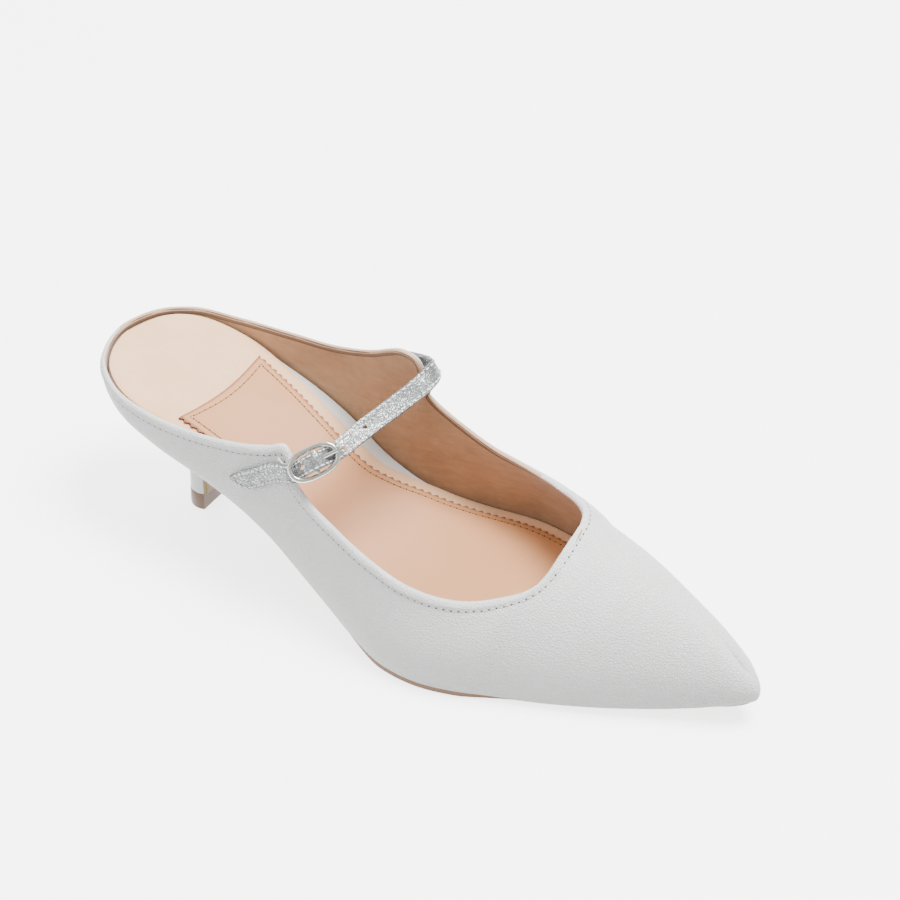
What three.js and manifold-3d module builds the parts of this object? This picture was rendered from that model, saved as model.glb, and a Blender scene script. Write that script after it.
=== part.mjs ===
// Pointed kitten-heel mule for the right foot, one shoe, in millimetres.
// Toe towards +X, outer (lateral) side towards -Y, inner (medial) side towards +Y, up is +Z.
// The shoe is worked out from a last: rows of sections run from the toe tip to the heel back.
// The origin ends up on the floor, in the middle of the shoe's footprint box.
import * as THREE from 'three';
import { mergeVertices } from 'three/addons/utils/BufferGeometryUtils.js';
import Module from 'manifold-3d';

const wasm = await Module();
wasm.setup();

// Driving dimensions of the last
const LENGTH = 250;
const BALL_WIDTH = 77;
const INSTEP_HEIGHT = 60;
const SEAT_HEIGHT = 47;
const TOE_SPRING = 8.5;
const BELLY = 4;

// Driving dimensions of the upper
const WALL = 1.8;
const LASTING_LIP = 10;
const GAP = 0.3;

// Driving dimensions of the bottom
const SOLE_THICKNESS = 1.7;
const SOLE_WAIST_INSET = 2.5;
const FOOTBED_HEIGHT = 11;
const SOCK_THICKNESS = 0.8;
const PAD_THICKNESS = 0.9;
const PAD_BORDER = 5;

// Driving dimensions of the heel
const HEEL_SET_IN = 34.6;
const HEEL_TIP_WIDTH = 11.2;
const TOP_PIECE_HEIGHT = 6.8;
const BREAST_THICKNESS = 0.9;

// Driving dimensions of the strap and its buckle
const STRAP_WIDTH = 7;
const STRAP_THICKNESS = 1.4;
const BUCKLE_LENGTH = 18.2;
const BUCKLE_WIDTH = 11;
const BUCKLE_WIRE = 1.7;
const BAR_DIAMETER = 1.4;
const PRONG_DIAMETER = 1.3;
const LOOP_WIDTH = 5.2;
const LOOP_THICKNESS = 0.8;
const PUNCH_DIAMETER = 1.3;

// Rows of the last's bottom edge from the toe tip to the heel back. Column at is a share of
// LENGTH, lateral and medial are shares of BALL_WIDTH, seat is a share of SEAT_HEIGHT and
// spring a share of TOE_SPRING. Each row is one section of the shoe.
const FEATHER_ROWS = [
  { at: 1.000, lateral: 0.065, medial: 0.065, seat: 0.000, spring: 0.85 },
  { at: 0.984, lateral: 0.006, medial: 0.121, seat: 0.000, spring: 0.76 },
  { at: 0.944, lateral: -0.061, medial: 0.191, seat: 0.000, spring: 0.52 },
  { at: 0.880, lateral: -0.168, medial: 0.272, seat: 0.000, spring: 0.25 },
  { at: 0.808, lateral: -0.282, medial: 0.364, seat: 0.000, spring: 0.08 },
  { at: 0.736, lateral: -0.380, medial: 0.434, seat: 0.000, spring: 0.00 },
  { at: 0.688, lateral: -0.437, medial: 0.478, seat: 0.000, spring: 0.00 },
  { at: 0.640, lateral: -0.498, medial: 0.504, seat: 0.000, spring: 0.00 },
  { at: 0.592, lateral: -0.533, medial: 0.500, seat: 0.000, spring: 0.00 },
  { at: 0.536, lateral: -0.527, medial: 0.462, seat: 0.010, spring: 0.00 },
  { at: 0.480, lateral: -0.471, medial: 0.408, seat: 0.055, spring: 0.00 },
  { at: 0.428, lateral: -0.409, medial: 0.356, seat: 0.132, spring: 0.00 },
  { at: 0.392, lateral: -0.379, medial: 0.330, seat: 0.219, spring: 0.00 },
  { at: 0.368, lateral: -0.362, medial: 0.319, seat: 0.285, spring: 0.00 },
  { at: 0.352, lateral: -0.353, medial: 0.314, seat: 0.336, spring: 0.00 },
  { at: 0.336, lateral: -0.344, medial: 0.312, seat: 0.387, spring: 0.00 },
  { at: 0.312, lateral: -0.335, medial: 0.311, seat: 0.460, spring: 0.00 },
  { at: 0.264, lateral: -0.327, medial: 0.313, seat: 0.585, spring: 0.00 },
  { at: 0.200, lateral: -0.326, medial: 0.318, seat: 0.715, spring: 0.00 },
  { at: 0.128, lateral: -0.319, medial: 0.319, seat: 0.821, spring: 0.00 },
  { at: 0.064, lateral: -0.277, medial: 0.277, seat: 0.911, spring: 0.00 },
  { at: 0.022, lateral: -0.175, medial: 0.175, seat: 0.970, spring: 0.00 },
  { at: 0.000, lateral: 0.000, medial: 0.000, seat: 1.000, spring: 0.00 },
];

// Ridge of the closed vamp from the toe tip to the throat. Column at is a share of LENGTH,
// side a share of BALL_WIDTH and rise a share of INSTEP_HEIGHT above the row's bottom edge.
const RIDGE_ROWS = [
  { at: 0.976, side: 0.065, rise: 0.170 },
  { at: 0.956, side: 0.070, rise: 0.268 },
  { at: 0.916, side: 0.082, rise: 0.420 },
  { at: 0.860, side: 0.098, rise: 0.578 },
  { at: 0.796, side: 0.112, rise: 0.700 },
  { at: 0.720, side: 0.118, rise: 0.782 },
];

// Topline of each side from the throat back to the heel, one row for each later section.
// Column lean is the wall's angle at the topline in degrees, 0 upright and 90 lying inwards.
const LATERAL_TOPLINE = [
  { at: 0.715, side: -0.200, rise: 0.640, lean: 70 },
  { at: 0.681, side: -0.318, rise: 0.573, lean: 50 },
  { at: 0.632, side: -0.413, rise: 0.533, lean: 32 },
  { at: 0.566, side: -0.462, rise: 0.540, lean: 17 },
  { at: 0.500, side: -0.455, rise: 0.573, lean: 9 },
  { at: 0.440, side: -0.418, rise: 0.582, lean: 6 },
  { at: 0.392, side: -0.380, rise: 0.580, lean: 7 },
  { at: 0.366, side: -0.358, rise: 0.625, lean: 9 },
  { at: 0.360, side: -0.338, rise: 0.690, lean: 12 },
  { at: 0.345, side: -0.325, rise: 0.715, lean: 12 },
  { at: 0.320, side: -0.334, rise: 0.612, lean: 7 },
  { at: 0.272, side: -0.351, rise: 0.458, lean: 0 },
  { at: 0.200, side: -0.356, rise: 0.312, lean: -4 },
  { at: 0.124, side: -0.345, rise: 0.218, lean: -4 },
  { at: 0.058, side: -0.299, rise: 0.175, lean: -4 },
  { at: 0.014, side: -0.188, rise: 0.173, lean: -2 },
];

const MEDIAL_TOPLINE = [
  { at: 0.700, side: 0.236, rise: 0.768, lean: 78 },
  { at: 0.652, side: 0.326, rise: 0.735, lean: 55 },
  { at: 0.596, side: 0.380, rise: 0.715, lean: 30 },
  { at: 0.536, side: 0.397, rise: 0.725, lean: 12 },
  { at: 0.488, side: 0.384, rise: 0.780, lean: 4 },
  { at: 0.450, side: 0.357, rise: 0.842, lean: 4 },
  { at: 0.440, side: 0.331, rise: 0.860, lean: 8 },
  { at: 0.444, side: 0.300, rise: 0.945, lean: 16 },
  { at: 0.438, side: 0.273, rise: 1.035, lean: 26 },
  { at: 0.414, side: 0.273, rise: 1.016, lean: 22 },
  { at: 0.352, side: 0.325, rise: 0.800, lean: 6 },
  { at: 0.288, side: 0.355, rise: 0.600, lean: 0 },
  { at: 0.216, side: 0.361, rise: 0.458, lean: -4 },
  { at: 0.132, side: 0.351, rise: 0.348, lean: -4 },
  { at: 0.066, side: 0.305, rise: 0.282, lean: -4 },
  { at: 0.022, side: 0.195, rise: 0.235, lean: -2 },
];

// Back of the topline, shared by both sides
const HEEL_TOP = { at: 0.000, side: 0, rise: 0.200, lean: 0 };

// Height of the footbed's surface above the bottom edge, as shares of FOOTBED_HEIGHT, by row
const FOOTBED_ROWS = [
  { row: 0, lateral: 0.42, medial: 0.42 },
  { row: 3, lateral: 0.45, medial: 0.72 },
  { row: 5, lateral: 0.55, medial: 1.06 },
  { row: 8, lateral: 0.62, medial: 1.18 },
  { row: 10, lateral: 0.72, medial: 1.20 },
  { row: 12, lateral: 0.82, medial: 1.50 },
  { row: 15, lateral: 0.92, medial: 1.74 },
  { row: 17, lateral: 1.02, medial: 1.62 },
  { row: 18, lateral: 1.05, medial: 1.52 },
  { row: 19, lateral: 0.97, medial: 1.56 },
  { row: 20, lateral: 0.80, medial: 1.43 },
  { row: 21, lateral: 0.74, medial: 1.23 },
  { row: 22, lateral: 1.03, medial: 1.03 },
];

const LAST_ROW = FEATHER_ROWS.length - 1;
const THROAT_ROW = RIDGE_ROWS.length - 1;
const STEPS_PER_ROW = 2;
const LATERAL = -1;
const MEDIAL = 1;
const UP = new THREE.Vector3(0, 0, 1);

// Smooth value of a column at a fractional row, by a monotone cubic through the rows
function monotone(xs, ys, x) {
  const last = xs.length - 1;
  const at = Math.min(Math.max(x, xs[0]), xs[last]);
  let i = 0;
  while (i < last - 1 && at > xs[i + 1]) i += 1;
  const slope = (k) => (ys[k + 1] - ys[k]) / (xs[k + 1] - xs[k]);
  const tangent = (k) => {
    if (k === 0) return slope(0);
    if (k === last) return slope(last - 1);
    const before = slope(k - 1);
    const after = slope(k);
    return before * after <= 0 ? 0 : (2 * before * after) / (before + after);
  };
  const h = xs[i + 1] - xs[i];
  const t = (at - xs[i]) / h;
  const a = ys[i] + t * t * (3 - 2 * t) * (ys[i + 1] - ys[i]);
  return a + h * t * (1 - t) * ((1 - t) * tangent(i) - t * tangent(i + 1));
}

// Places of the rows in millimetres
function featherPoint(row, side) {
  const y = side === LATERAL ? row.lateral : row.medial;
  return new THREE.Vector3(row.at * LENGTH, y * BALL_WIDTH, featherHeight(row));
}

function featherHeight(row) {
  return SOLE_THICKNESS + GAP + row.seat * SEAT_HEIGHT + row.spring * TOE_SPRING;
}

function topPoint(row, index) {
  const base = featherHeight(FEATHER_ROWS[index]);
  return new THREE.Vector3(row.at * LENGTH, row.side * BALL_WIDTH, base + row.rise * INSTEP_HEIGHT);
}

// Height of the shoe's bottom surface against the distance from the heel back
const bottomXs = FEATHER_ROWS.map((row) => row.at * LENGTH).reverse();
const bottomZs = FEATHER_ROWS.map((row) => featherHeight(row)).reverse();

function bottomHeight(x) {
  return monotone(bottomXs, bottomZs, x);
}

// Closed smooth line through the bottom edge: toe tip, lateral side, heel back, medial side
const featherLoop = new THREE.CatmullRomCurve3([
  ...FEATHER_ROWS.map((row) => featherPoint(row, LATERAL)),
  ...FEATHER_ROWS.slice(1, LAST_ROW).reverse().map((row) => featherPoint(row, MEDIAL)),
], true, 'centripetal');

// Ridge of the vamp, and the closed topline: throat, lateral side, heel back, medial side
const ridge = new THREE.CatmullRomCurve3(RIDGE_ROWS.map((row, i) => topPoint(row, i)), false, 'centripetal');
const topline = new THREE.CatmullRomCurve3([
  topPoint(RIDGE_ROWS[THROAT_ROW], THROAT_ROW),
  ...LATERAL_TOPLINE.map((row, i) => topPoint(row, THROAT_ROW + 1 + i)),
  topPoint(HEEL_TOP, LAST_ROW),
  ...MEDIAL_TOPLINE.map((row, i) => topPoint(row, THROAT_ROW + 1 + i)).reverse(),
], true, 'centripetal');

function featherAt(side, row) {
  const t = row / (2 * LAST_ROW);
  const point = featherLoop.getPoint(side === LATERAL ? t : (1 - t) % 1);
  point.z = bottomHeight(point.x);
  return point;
}

function featherInward(side, row) {
  const step = 0.02;
  const ahead = featherAt(side, Math.min(row + step, LAST_ROW));
  const behind = featherAt(side, Math.max(row - step, 0));
  const along = ahead.sub(behind).setZ(0);
  if (row < step) along.set(0, side, 0);
  if (row > LAST_ROW - step) along.set(0, -side, 0);
  along.normalize();
  return new THREE.Vector3(-along.y * side, along.x * side, 0);
}

function topAt(side, row) {
  if (row <= THROAT_ROW) return ridge.getPoint(row / THROAT_ROW);
  const t = (row - THROAT_ROW) / (2 * (LAST_ROW - THROAT_ROW));
  return topline.getPoint(side === LATERAL ? t : (1 - t) % 1);
}

function leanAt(side, row) {
  const table = side === LATERAL ? LATERAL_TOPLINE : MEDIAL_TOPLINE;
  const rows = [0, THROAT_ROW, ...table.map((_, i) => THROAT_ROW + 1 + i), LAST_ROW];
  const angles = [88, 88, ...table.map((r) => r.lean), HEEL_TOP.lean];
  return THREE.MathUtils.degToRad(monotone(rows, angles, row));
}

// Outer surface of the upper: a cubic section from the bottom edge up to the ridge or topline
function outerPoint(side, row, w) {
  const foot = featherAt(side, row);
  const top = topAt(side, row);
  const rise = top.z - foot.z;
  const inward = featherInward(side, row);
  const across = top.clone().sub(foot).setZ(0);
  const reach = across.length();
  const lean = leanAt(side, row);
  const lying = Math.max(0, Math.sin(lean));
  const crest = across.clone().normalize().lerp(inward, 1 - lying).normalize();
  const swell = BELLY * Math.min(1, rise / (0.3 * INSTEP_HEIGHT));
  const handle = 0.36 * rise + 0.20 * reach * lying;
  const lower = foot.clone().addScaledVector(UP, handle).addScaledVector(inward, -swell);
  const pull = 0.36 * rise * (1 - lying) + 0.55 * reach * lying;
  const upper = top.clone()
    .addScaledVector(crest, -Math.sin(lean) * pull)
    .addScaledVector(UP, -Math.cos(lean) * pull);
  return new THREE.CubicBezierCurve3(foot, lower, upper, top).getPoint(w);
}

// Point under the outer surface, measured along its normal; a negative depth lies outside it
function skinPoint(side, row, w, depth) {
  const step = 0.01;
  const here = outerPoint(side, row, w);
  const rowStep = 0.05;
  const next = Math.min(row + rowStep, LAST_ROW);
  const prev = Math.max(row - rowStep, 0);
  let along;
  if (row < rowStep || row > LAST_ROW - rowStep) {
    const near = row < rowStep ? rowStep : LAST_ROW - rowStep;
    along = outerPoint(LATERAL, near, w).sub(outerPoint(MEDIAL, near, w)).multiplyScalar(row < rowStep ? 1 : -1);
    if (side === MEDIAL) along.negate();
  } else {
    along = outerPoint(side, next, w).sub(outerPoint(side, prev, w));
  }
  const lift = outerPoint(side, row, Math.min(w + step, 1)).sub(outerPoint(side, row, Math.max(w - step, 0)));
  const inwards = new THREE.Vector3().crossVectors(along, lift).normalize().multiplyScalar(side === LATERAL ? 1 : -1);
  if (row <= THROAT_ROW && w > 1 - step) {
    const back = ridge.getTangent(Math.min(row / THROAT_ROW, 1));
    inwards.set(-back.z, 0, back.x).normalize();
    if (inwards.z > 0) inwards.negate();
  }
  return here.addScaledVector(inwards, depth);
}

// Point at a depth under the outer surface where it meets a height field
function wallMeets(side, row, depth, heightAt) {
  let low = 0;
  let high = 1;
  for (let i = 0; i < 14; i += 1) {
    const middle = (low + high) / 2;
    const point = skinPoint(side, row, middle, depth);
    if (point.z > heightAt(point.x, point.y)) high = middle;
    else low = middle;
  }
  return { w: (low + high) / 2, point: skinPoint(side, row, (low + high) / 2, depth) };
}

// Turns a list of quads and triangles over named points into one closed geometry
class Body {
  constructor() {
    this.positions = [];
  }

  triangle(a, b, c) {
    this.positions.push(a.x, a.y, a.z, b.x, b.y, b.z, c.x, c.y, c.z);
  }

  quad(a, b, c, d) {
    this.triangle(a, b, c);
    this.triangle(a, c, d);
  }

  geometry() {
    const loose = new THREE.BufferGeometry();
    loose.setAttribute('position', new THREE.Float32BufferAttribute(this.positions, 3));
    const merged = mergeVertices(loose, 1e-3);
    const index = merged.index.array;
    const kept = [];
    for (let i = 0; i < index.length; i += 3) {
      const [a, b, c] = [index[i], index[i + 1], index[i + 2]];
      if (a !== b && b !== c && c !== a) kept.push(a, b, c);
    }
    merged.setIndex(kept);
    return faceOut(merged);
  }
}

// Flips a closed geometry whose faces point inwards
function faceOut(geometry) {
  const p = geometry.attributes.position;
  const index = geometry.index.array;
  const [a, b, c] = [new THREE.Vector3(), new THREE.Vector3(), new THREE.Vector3()];
  let volume = 0;
  for (let i = 0; i < index.length; i += 3) {
    a.fromBufferAttribute(p, index[i]);
    b.fromBufferAttribute(p, index[i + 1]);
    c.fromBufferAttribute(p, index[i + 2]);
    volume += a.dot(b.cross(c));
  }
  if (volume < 0) {
    for (let i = 0; i < index.length; i += 3) [index[i + 1], index[i + 2]] = [index[i + 2], index[i + 1]];
  }
  geometry.computeVertexNormals();
  return geometry;
}

// Closed loft through rings of equal length. The ends are capped by fans, left as they are
// where the rings run to an edge, or joined to each other.
function loft(rings, ends = 'capped') {
  const body = new Body();
  const count = rings[0].length;
  for (let k = 0; k < rings.length - 1; k += 1) {
    for (let i = 0; i < count; i += 1) {
      const j = (i + 1) % count;
      body.quad(rings[k][i], rings[k][j], rings[k + 1][j], rings[k + 1][i]);
    }
  }
  if (ends === 'capped') {
    for (const [ring, flip] of [[rings[0], true], [rings[rings.length - 1], false]]) {
      const middle = ring.reduce((sum, p) => sum.add(p), new THREE.Vector3()).divideScalar(count);
      for (let i = 0; i < count; i += 1) {
        const j = (i + 1) % count;
        if (flip) body.triangle(middle, ring[j], ring[i]);
        else body.triangle(middle, ring[i], ring[j]);
      }
    }
  } else if (ends === 'joined') {
    const [first, last] = [rings[0], rings[rings.length - 1]];
    for (let i = 0; i < count; i += 1) {
      const j = (i + 1) % count;
      body.quad(last[i], last[j], first[j], first[i]);
    }
  }
  return body.geometry();
}

// Solids for joining and cutting
function toSolid(geometry) {
  const bare = geometry.clone();
  bare.deleteAttribute('normal');
  bare.deleteAttribute('uv');
  const merged = mergeVertices(bare, 1e-4);
  return new wasm.Manifold(new wasm.Mesh({
    numProp: 3,
    vertProperties: new Float32Array(merged.attributes.position.array),
    triVerts: new Uint32Array(merged.index.array),
  }));
}

function fromSolid(solid) {
  const mesh = solid.getMesh();
  const geometry = new THREE.BufferGeometry();
  geometry.setAttribute('position', new THREE.Float32BufferAttribute(mesh.vertProperties, 3));
  geometry.setIndex([...mesh.triVerts]);
  geometry.computeVertexNormals();
  return geometry;
}

// Rows at which the shoe is sampled: evenly inside each table row
function sampleRows(from = 0, to = LAST_ROW, steps = STEPS_PER_ROW) {
  const rows = [];
  for (let i = Math.round(from * steps); i <= Math.round(to * steps); i += 1) rows.push(i / steps);
  return rows;
}

// Upper: one hollow shell. Each section is a strip that runs up outside, over the topline,
// down inside and along the lasting lip that is turned in under the foot.
const SECTION_STEPS = 8;
const SPINE_MARGIN = 0.060;

function spinePoint(row) {
  const lateral = featherAt(LATERAL, row);
  const medial = featherAt(MEDIAL, row);
  const middle = lateral.clone().add(medial).multiplyScalar(0.5);
  middle.x = THREE.MathUtils.clamp(middle.x, SPINE_MARGIN * LENGTH, (1 - SPINE_MARGIN) * LENGTH);
  return middle;
}

function lipPoint(side, row, raise) {
  const edge = featherAt(side, row);
  const spine = spinePoint(row);
  const inward = spine.sub(edge).setZ(0);
  const width = Math.min(LASTING_LIP, 0.7 * inward.length());
  const inner = edge.clone().addScaledVector(inward.normalize(), width);
  inner.z = bottomHeight(inner.x) + raise;
  return inner;
}

function upperGeometry() {
  const body = new Body();
  const rows = sampleRows();
  for (const side of [LATERAL, MEDIAL]) {
    const quad = (a, b, c, d) => (side === LATERAL ? body.quad(a, b, c, d) : body.quad(d, c, b, a));
    const strips = rows.map((row) => {
      const foot = wallMeets(side, row, WALL, (x) => bottomHeight(x) + WALL);
      const outer = [];
      const inner = [];
      for (let k = 0; k <= SECTION_STEPS; k += 1) {
        const share = k / SECTION_STEPS;
        outer.push(skinPoint(side, row, share, 0));
        inner.push(skinPoint(side, row, THREE.MathUtils.lerp(foot.w, 1, share), WALL));
      }
      return { outer, inner, lipLow: lipPoint(side, row, 0), lipHigh: lipPoint(side, row, WALL) };
    });
    for (let i = 0; i < strips.length - 1; i += 1) {
      const [a, b] = [strips[i], strips[i + 1]];
      for (let k = 0; k < SECTION_STEPS; k += 1) {
        quad(a.outer[k], b.outer[k], b.outer[k + 1], a.outer[k + 1]);
        quad(b.inner[k], a.inner[k], a.inner[k + 1], b.inner[k + 1]);
      }
      quad(b.outer[0], a.outer[0], a.lipLow, b.lipLow);
      quad(a.lipLow, a.lipHigh, b.lipHigh, b.lipLow);
      quad(a.lipHigh, a.inner[0], b.inner[0], b.lipHigh);
      if (rows[i] >= THROAT_ROW) {
        quad(a.outer[SECTION_STEPS], b.outer[SECTION_STEPS], b.inner[SECTION_STEPS], a.inner[SECTION_STEPS]);
      }
    }
  }
  return body.geometry();
}

// Height of the footbed's surface over the floor: it banks up towards the arch
const bedXs = FOOTBED_ROWS.map((r) => FEATHER_ROWS[r.row].at * LENGTH).reverse();
const bedLateral = FOOTBED_ROWS.map((r) => r.lateral * FOOTBED_HEIGHT).reverse();
const bedMedial = FOOTBED_ROWS.map((r) => r.medial * FOOTBED_HEIGHT).reverse();

function bedHeight(x, y) {
  const bank = THREE.MathUtils.smoothstep(y, -0.4 * BALL_WIDTH, 0.4 * BALL_WIDTH);
  const rise = THREE.MathUtils.lerp(monotone(bedXs, bedLateral, x), monotone(bedXs, bedMedial, x), bank);
  return bottomHeight(x) + rise;
}

// Extra room beside the footbed where the wall's flat faces cut inside its curve
const BED_EASE = 0.2;

// Edge of the footbed at a share of its height, and the same edge drawn in towards the spine
function bedEdge(side, row, share = 1) {
  const floor = (x) => bottomHeight(x) + WALL + GAP;
  const heightAt = (x, y) => THREE.MathUtils.lerp(floor(x), bedHeight(x, y), share);
  return wallMeets(side, row, WALL + GAP + BED_EASE, heightAt).point;
}

function drawnIn(point, row, inset) {
  const inward = spinePoint(row).sub(point).setZ(0);
  const length = inward.length();
  return point.clone().addScaledVector(inward.divideScalar(length), Math.min(inset, 0.9 * length));
}

// Closed plate between two height fields over a plan grid of rows and steps across
function plate(grid, lowAt, highAt) {
  const body = new Body();
  const low = grid.map((line) => line.map((p) => new THREE.Vector3(p.x, p.y, lowAt(p.x, p.y))));
  const high = grid.map((line) => line.map((p) => new THREE.Vector3(p.x, p.y, highAt(p.x, p.y))));
  const across = grid[0].length - 1;
  for (let i = 0; i < grid.length - 1; i += 1) {
    for (let j = 0; j < across; j += 1) {
      body.quad(high[i][j], high[i][j + 1], high[i + 1][j + 1], high[i + 1][j]);
      body.quad(low[i][j], low[i + 1][j], low[i + 1][j + 1], low[i][j + 1]);
    }
    body.quad(low[i][0], high[i][0], high[i + 1][0], low[i + 1][0]);
    body.quad(high[i][across], low[i][across], low[i + 1][across], high[i + 1][across]);
  }
  for (const [i, flip] of [[0, false], [grid.length - 1, true]]) {
    for (let j = 0; j < across; j += 1) {
      if (flip) body.quad(high[i][j], high[i][j + 1], low[i][j + 1], low[i][j]);
      else body.quad(low[i][j], low[i][j + 1], high[i][j + 1], high[i][j]);
    }
  }
  return body.geometry();
}

function gridBetween(rows, lateralAt, medialAt, across) {
  return rows.map((row) => {
    const from = lateralAt(row);
    const to = medialAt(row);
    return Array.from({ length: across + 1 }, (_, j) => from.clone().lerp(to, j / across));
  });
}

// Footbed: the stiff board and its cushion, with sides that follow the inside of the wall
const BED_SHARES = [0, 0.5, 1];
const BED_ACROSS = 6;

function bedRing(row) {
  const lateral = BED_SHARES.map((share) => bedEdge(LATERAL, row, share));
  const medial = BED_SHARES.map((share) => bedEdge(MEDIAL, row, share));
  const ring = [];
  for (let j = 0; j < BED_ACROSS; j += 1) {
    const point = lateral[0].clone().lerp(medial[0], j / BED_ACROSS);
    if (j > 0) point.z = bottomHeight(point.x) + WALL + GAP;
    ring.push(point);
  }
  ring.push(...medial);
  for (let j = BED_ACROSS - 1; j > 0; j -= 1) {
    const point = lateral[2].clone().lerp(medial[2], j / BED_ACROSS);
    point.z = bedHeight(point.x, point.y);
    ring.push(point);
  }
  ring.push(lateral[2], lateral[1]);
  return ring;
}

function footbedGeometry() {
  return loft(sampleRows().map(bedRing), 'run out');
}

// Sock: the thin lining that covers the footbed, cut back along the arch
const SOCK_CUT_BACK = 5.5;
const SOCK_MARGIN = 0.5;

function sockEdge(side, row) {
  const arch = side === MEDIAL ? Math.max(0, 1 - ((row - 14.5) / 4.2) ** 2) : 0;
  return drawnIn(bedEdge(side, row), row, SOCK_MARGIN + SOCK_CUT_BACK * arch * arch * (3 - 2 * arch));
}

function sockGeometry() {
  const grid = gridBetween(sampleRows(), (r) => sockEdge(LATERAL, r), (r) => sockEdge(MEDIAL, r), 6);
  return plate(grid, (x, y) => bedHeight(x, y) + GAP, (x, y) => bedHeight(x, y) + GAP + SOCK_THICKNESS);
}

// Pad: the smooth leather over the sock from behind the arch to under the vamp
const PAD_FRONT_ROW = 3;
const PAD_REAR_ROW = 18.45;
const PAD_REAR_CURL = 0.2;
const PAD_CLEARANCE = 0.4;

function padGeometry() {
  const across = 6;
  const rearLines = 6;
  const straight = sampleRows(PAD_FRONT_ROW, PAD_REAR_ROW - 2).map((row) => ({ row, curl: 0 }));
  const from = straight[straight.length - 1].row;
  const curled = Array.from({ length: rearLines }, (_, i) => {
    const share = (i + 1) / rearLines;
    return { row: THREE.MathUtils.lerp(from, PAD_REAR_ROW, share), curl: share };
  });
  const grid = [...straight, ...curled].map(({ row, curl }) => (
    Array.from({ length: across + 1 }, (_, j) => {
      const s = j / across;
      const there = row + curl * PAD_REAR_CURL * (0.5 - s - 0.6 * Math.sin(Math.PI * s));
      const lateral = drawnIn(sockEdge(LATERAL, there), there, PAD_BORDER);
      const medial = drawnIn(sockEdge(MEDIAL, there), there, PAD_BORDER);
      return lateral.lerp(medial, s);
    })
  ));
  const base = GAP + SOCK_THICKNESS + PAD_CLEARANCE;
  return plate(grid, (x, y) => bedHeight(x, y) + base, (x, y) => bedHeight(x, y) + base + PAD_THICKNESS);
}

// Outsole: flush under the forefoot, drawn in under the waist, ending at the heel's breast
const SOLE_REAR_ROW = 17.85;
const SOLE_EDGE_INSET = 2.4;

function soleEdge(side, row) {
  const ball = THREE.MathUtils.smoothstep(row, 5, 7) * (1 - THREE.MathUtils.smoothstep(row, 9, 11.5));
  const waist = THREE.MathUtils.smoothstep(row, 9, 12);
  const flush = side === LATERAL ? ball : 0;
  const inset = THREE.MathUtils.lerp(SOLE_EDGE_INSET, SOLE_WAIST_INSET, waist);
  return drawnIn(featherAt(side, row), row, THREE.MathUtils.lerp(inset, 0.1, flush));
}

function outsoleGeometry() {
  const rows = [...sampleRows(0, Math.floor(SOLE_REAR_ROW)), SOLE_REAR_ROW - 0.4, SOLE_REAR_ROW];
  const grid = gridBetween(rows, (row) => soleEdge(LATERAL, row), (row) => soleEdge(MEDIAL, row), 4);
  return plate(grid, (x) => bottomHeight(x) - GAP - SOLE_THICKNESS, (x) => bottomHeight(x) - GAP);
}

// Heel: sections from the small round foot, flat at the breast, out to the seat
const HEEL_SECTIONS = [
  { rise: 0.00, spread: 0.00 },
  { rise: 0.22, spread: 0.00 },
  { rise: 0.42, spread: 0.03 },
  { rise: 0.58, spread: 0.09 },
  { rise: 0.72, spread: 0.20 },
  { rise: 0.83, spread: 0.38 },
  { rise: 0.92, spread: 0.64 },
  { rise: 0.97, spread: 0.84 },
  { rise: 1.00, spread: 0.97 },
];
const HEEL_FRONT_ROW = 18.0;
const SEAT_INSET = 1.2;
const HEEL_STEPS = 26;
const BREAST_FLAT = 0.42;

function tipOutline(u, grow = 0) {
  const radius = HEEL_TIP_WIDTH / 2 + grow;
  const half = Math.PI - Math.acos(BREAST_FLAT);
  const angle = Math.PI + half * (1 - 2 * u);
  return new THREE.Vector3(HEEL_SET_IN + radius * Math.cos(angle), radius * Math.sin(angle), 0);
}

function seatOutline(u) {
  const side = u < 0.5 ? LATERAL : MEDIAL;
  const row = THREE.MathUtils.lerp(HEEL_FRONT_ROW, LAST_ROW, 1 - Math.abs(1 - 2 * u));
  return drawnIn(featherAt(side, row), row, SEAT_INSET);
}

function heelRing({ rise, spread }) {
  const ring = [];
  for (let i = 0; i <= HEEL_STEPS; i += 1) {
    const u = i / HEEL_STEPS;
    const point = tipOutline(u).lerp(seatOutline(u).setZ(0), spread);
    point.z = THREE.MathUtils.lerp(TOP_PIECE_HEIGHT + GAP, bottomHeight(point.x) - GAP, rise);
    ring.push(point);
  }
  return ring;
}

function heelGeometry() {
  return loft(HEEL_SECTIONS.map(heelRing));
}

function topPieceGeometry() {
  const ring = (z, grow) => Array.from({ length: HEEL_STEPS + 1 }, (_, i) => tipOutline(i / HEEL_STEPS, grow).setZ(z));
  return loft([ring(0, -0.2), ring(0.7, 0.2), ring(TOP_PIECE_HEIGHT, 0.1)]);
}

// Breast cover: the thin leather on the flat front of the heel, up to the end of the outsole
function breastGeometry() {
  const fronts = HEEL_SECTIONS.slice(0, -1).map((section) => {
    const ring = heelRing(section);
    return { x: ring[0].x, z: ring[0].z, half: Math.abs(ring[0].y) };
  });
  const rings = fronts.map(({ x, z, half }, i) => {
    const above = fronts[Math.min(i + 1, fronts.length - 1)];
    const below = fronts[Math.max(i - 1, 0)];
    const forward = new THREE.Vector3(above.z - below.z, 0, below.x - above.x).normalize();
    const at = (depth, y) => new THREE.Vector3(x, y, z).addScaledVector(forward, depth);
    return [
      at(GAP, -half * 0.94),
      at(GAP + BREAST_THICKNESS, -half * 0.9),
      at(GAP + BREAST_THICKNESS, half * 0.9),
      at(GAP, half * 0.94),
    ];
  });
  return loft(rings);
}

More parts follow.
